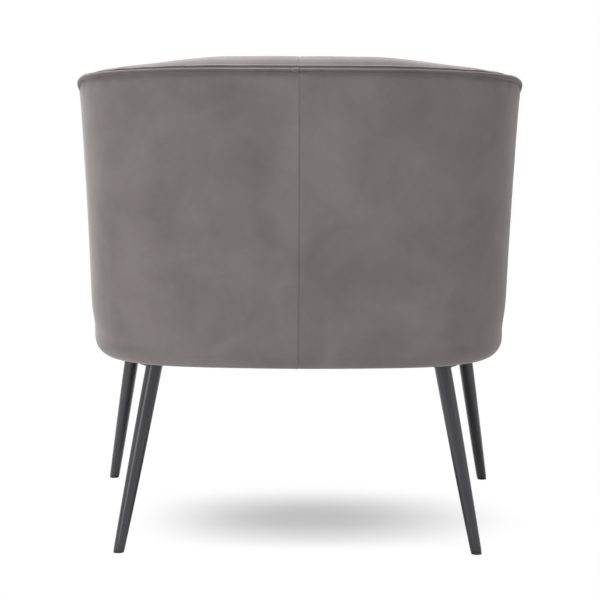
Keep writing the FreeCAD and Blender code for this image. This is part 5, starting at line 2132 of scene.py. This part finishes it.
# Studio
@dataclass
class Studio:
    """White floor, soft lamps and the camera of the photograph."""

    camera_at: tuple[float, float, float] = (-0.0020, 3.4235, 0.7958)
    pitch: float = 6.925
    roll: float = 0.28
    lens: float = 119.9
    sensor_width: float = 36
    surroundings: float = 0.43
    lamps_aim: tuple[float, float, float] = (0, 0, 0.5)
    # The floor, white but for the soft shadow under the chair
    floor_half: float = 9
    paper: float = 0.82
    glow: float = 0.32
    shadow_middle: tuple[float, float, float] = (-0.03, 0.0175, 0)
    shadow_reach: tuple[float, float, float] = (0.41, 0.29, 1)
    shadow_core: float = 0.08

    def floor(self) -> Object:
        """Floor that keeps the chair's shadow in an oval, and is white to the eye outside it."""
        material = bpy.data.materials.new("studio_floor")
        material.use_nodes = True
        tree = material.node_tree
        tree.nodes.clear()
        paper = add(tree, "ShaderNodeBsdfDiffuse", {"Color": (self.paper, self.paper, self.paper, 1)})
        glow = add(tree, "ShaderNodeEmission", {"Color": (1, 1, 1, 1), "Strength": self.glow})
        both = add(tree, "ShaderNodeAddShader", {0: paper, 1: glow})
        white = add(tree, "ShaderNodeEmission", {"Color": (1, 1, 1, 1), "Strength": 1.0})
        place = add(tree, "ShaderNodeTexCoord").outputs["Object"]
        offset = add(tree, "ShaderNodeVectorMath", {0: place, 1: self.shadow_middle}, operation="SUBTRACT")
        share = add(tree, "ShaderNodeVectorMath", {0: offset, 1: self.shadow_reach}, operation="DIVIDE")
        away = add(tree, "ShaderNodeVectorMath", {0: share}, operation="LENGTH")
        far = add(tree, "ShaderNodeMapRange", {"Value": away.outputs["Value"], "From Min": self.shadow_core},
                  interpolation_type="SMOOTHSTEP")
        seen = add(tree, "ShaderNodeMixShader", {0: far, 1: both, 2: white})
        path = add(tree, "ShaderNodeLightPath")
        mixed = add(tree, "ShaderNodeMixShader", {0: path.outputs["Is Camera Ray"], 1: paper, 2: seen})
        add(tree, "ShaderNodeOutputMaterial", {"Surface": mixed})
        half = self.floor_half
        verts = [(-half, -half, 0), (half, -half, 0), (half, half, 0), (-half, half, 0)]
        floor = mesh_object("floor", verts, [(0, 1, 2, 3)], material)
        return floor

    def world(self) -> None:
        """Even white surroundings: full white to the eye, dimmer as light."""
        world = bpy.data.worlds.new("studio")
        bpy.context.scene.world = world
        world.use_nodes = True
        tree = world.node_tree
        tree.nodes.clear()
        path = add(tree, "ShaderNodeLightPath")
        seen = add(tree, "ShaderNodeMath", {
            0: path.outputs["Is Camera Ray"], 1: path.outputs["Is Glossy Ray"]}, operation="MAXIMUM")
        level = add(tree, "ShaderNodeMapRange", {"Value": seen, "To Min": self.surroundings, "To Max": 1.0})
        light = add(tree, "ShaderNodeBackground", {"Color": (1, 1, 1, 1), "Strength": level})
        add(tree, "ShaderNodeOutputWorld", {"Surface": light})

    def lamp(self, name: str, at: Sequence[float], size: Pair, power: float) -> None:
        """Adds one softbox that points at the chair.

        Args:
            name: The lamp's name.
            at: Where it hangs.
            size: Its width and height.
            power: In watts.
        """
        data = bpy.data.lights.new(name, "AREA")
        data.shape = "RECTANGLE"
        data.size, data.size_y = size
        data.energy = power
        lamp = new_object(name, data)
        lamp.location = at
        lamp.rotation_mode = "QUATERNION"
        lamp.rotation_quaternion = (Vector(self.lamps_aim) - Vector(at)).to_track_quat("-Z", "Y")

    def camera(self) -> None:
        """Camera behind the chair, as the photograph was taken."""
        data = bpy.data.cameras.new("camera")
        data.lens = self.lens
        data.sensor_width = self.sensor_width
        camera = new_object("camera", data)
        camera.location = self.camera_at
        turned = Matrix.Rotation(math.pi, 3, "Z") @ Matrix.Rotation(math.radians(90 - self.pitch), 3, "X")
        camera.rotation_euler = (turned @ Matrix.Rotation(math.radians(self.roll), 3, "Z")).to_euler()
        bpy.context.scene.camera = camera

    def build(self) -> None:
        """Sets up the whole studio."""
        self.floor()
        self.world()
        self.lamp("top_softbox", at=(0.6, -0.5, 2.8), size=(2.4, 1.8), power=98)
        self.lamp("rear_softbox", at=(0.2, 0.82, 2.8), size=(1.8, 0.40), power=46)
        self.lamp("left_softbox", at=(2.4, 2.5, 1.3), size=(1.4, 2.0), power=27)
        self.lamp("right_softbox", at=(-2.8, 1.2, 1.4), size=(0.4, 2.0), power=4.5)
        self.camera()
        bpy.context.scene.view_settings.view_transform = "Standard"


def main() -> None:
    """Builds the chair piece by piece, then the studio."""
    logging.basicConfig(level=logging.INFO, format="%(message)s")
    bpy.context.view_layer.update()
    palette = Palette()
    palette.dress_nodes()
    form = ShellForm()
    outside = OutsideCovers(form)
    outside.build(palette.velvet, palette.slots["card_liner"])
    fitted(StitchRow().build("back_seam_stitches", outside.seam_path(), palette.thread), "taupe_velvet")
    InsideCovers(form).build(palette.velvet, palette.slots["foam"])
    # The piping wears the darker copy of the velvet: painted shade on its lit top
    RimPiping(form).build(palette.shaded_piping_velvet)
    ArmFronts(form).build(palette.velvet)
    FrontBorder(form).build(palette.velvet)
    Seat(form).build(palette.velvet)
    under = Underside(form)
    under.dust_cover(palette.dust_cloth)
    under.staples(palette.zinc)
    under.screws(palette.zinc)
    Legs().build(palette.coat, under.legs())
    Studio().build()


if __name__ == "__main__":
    main()
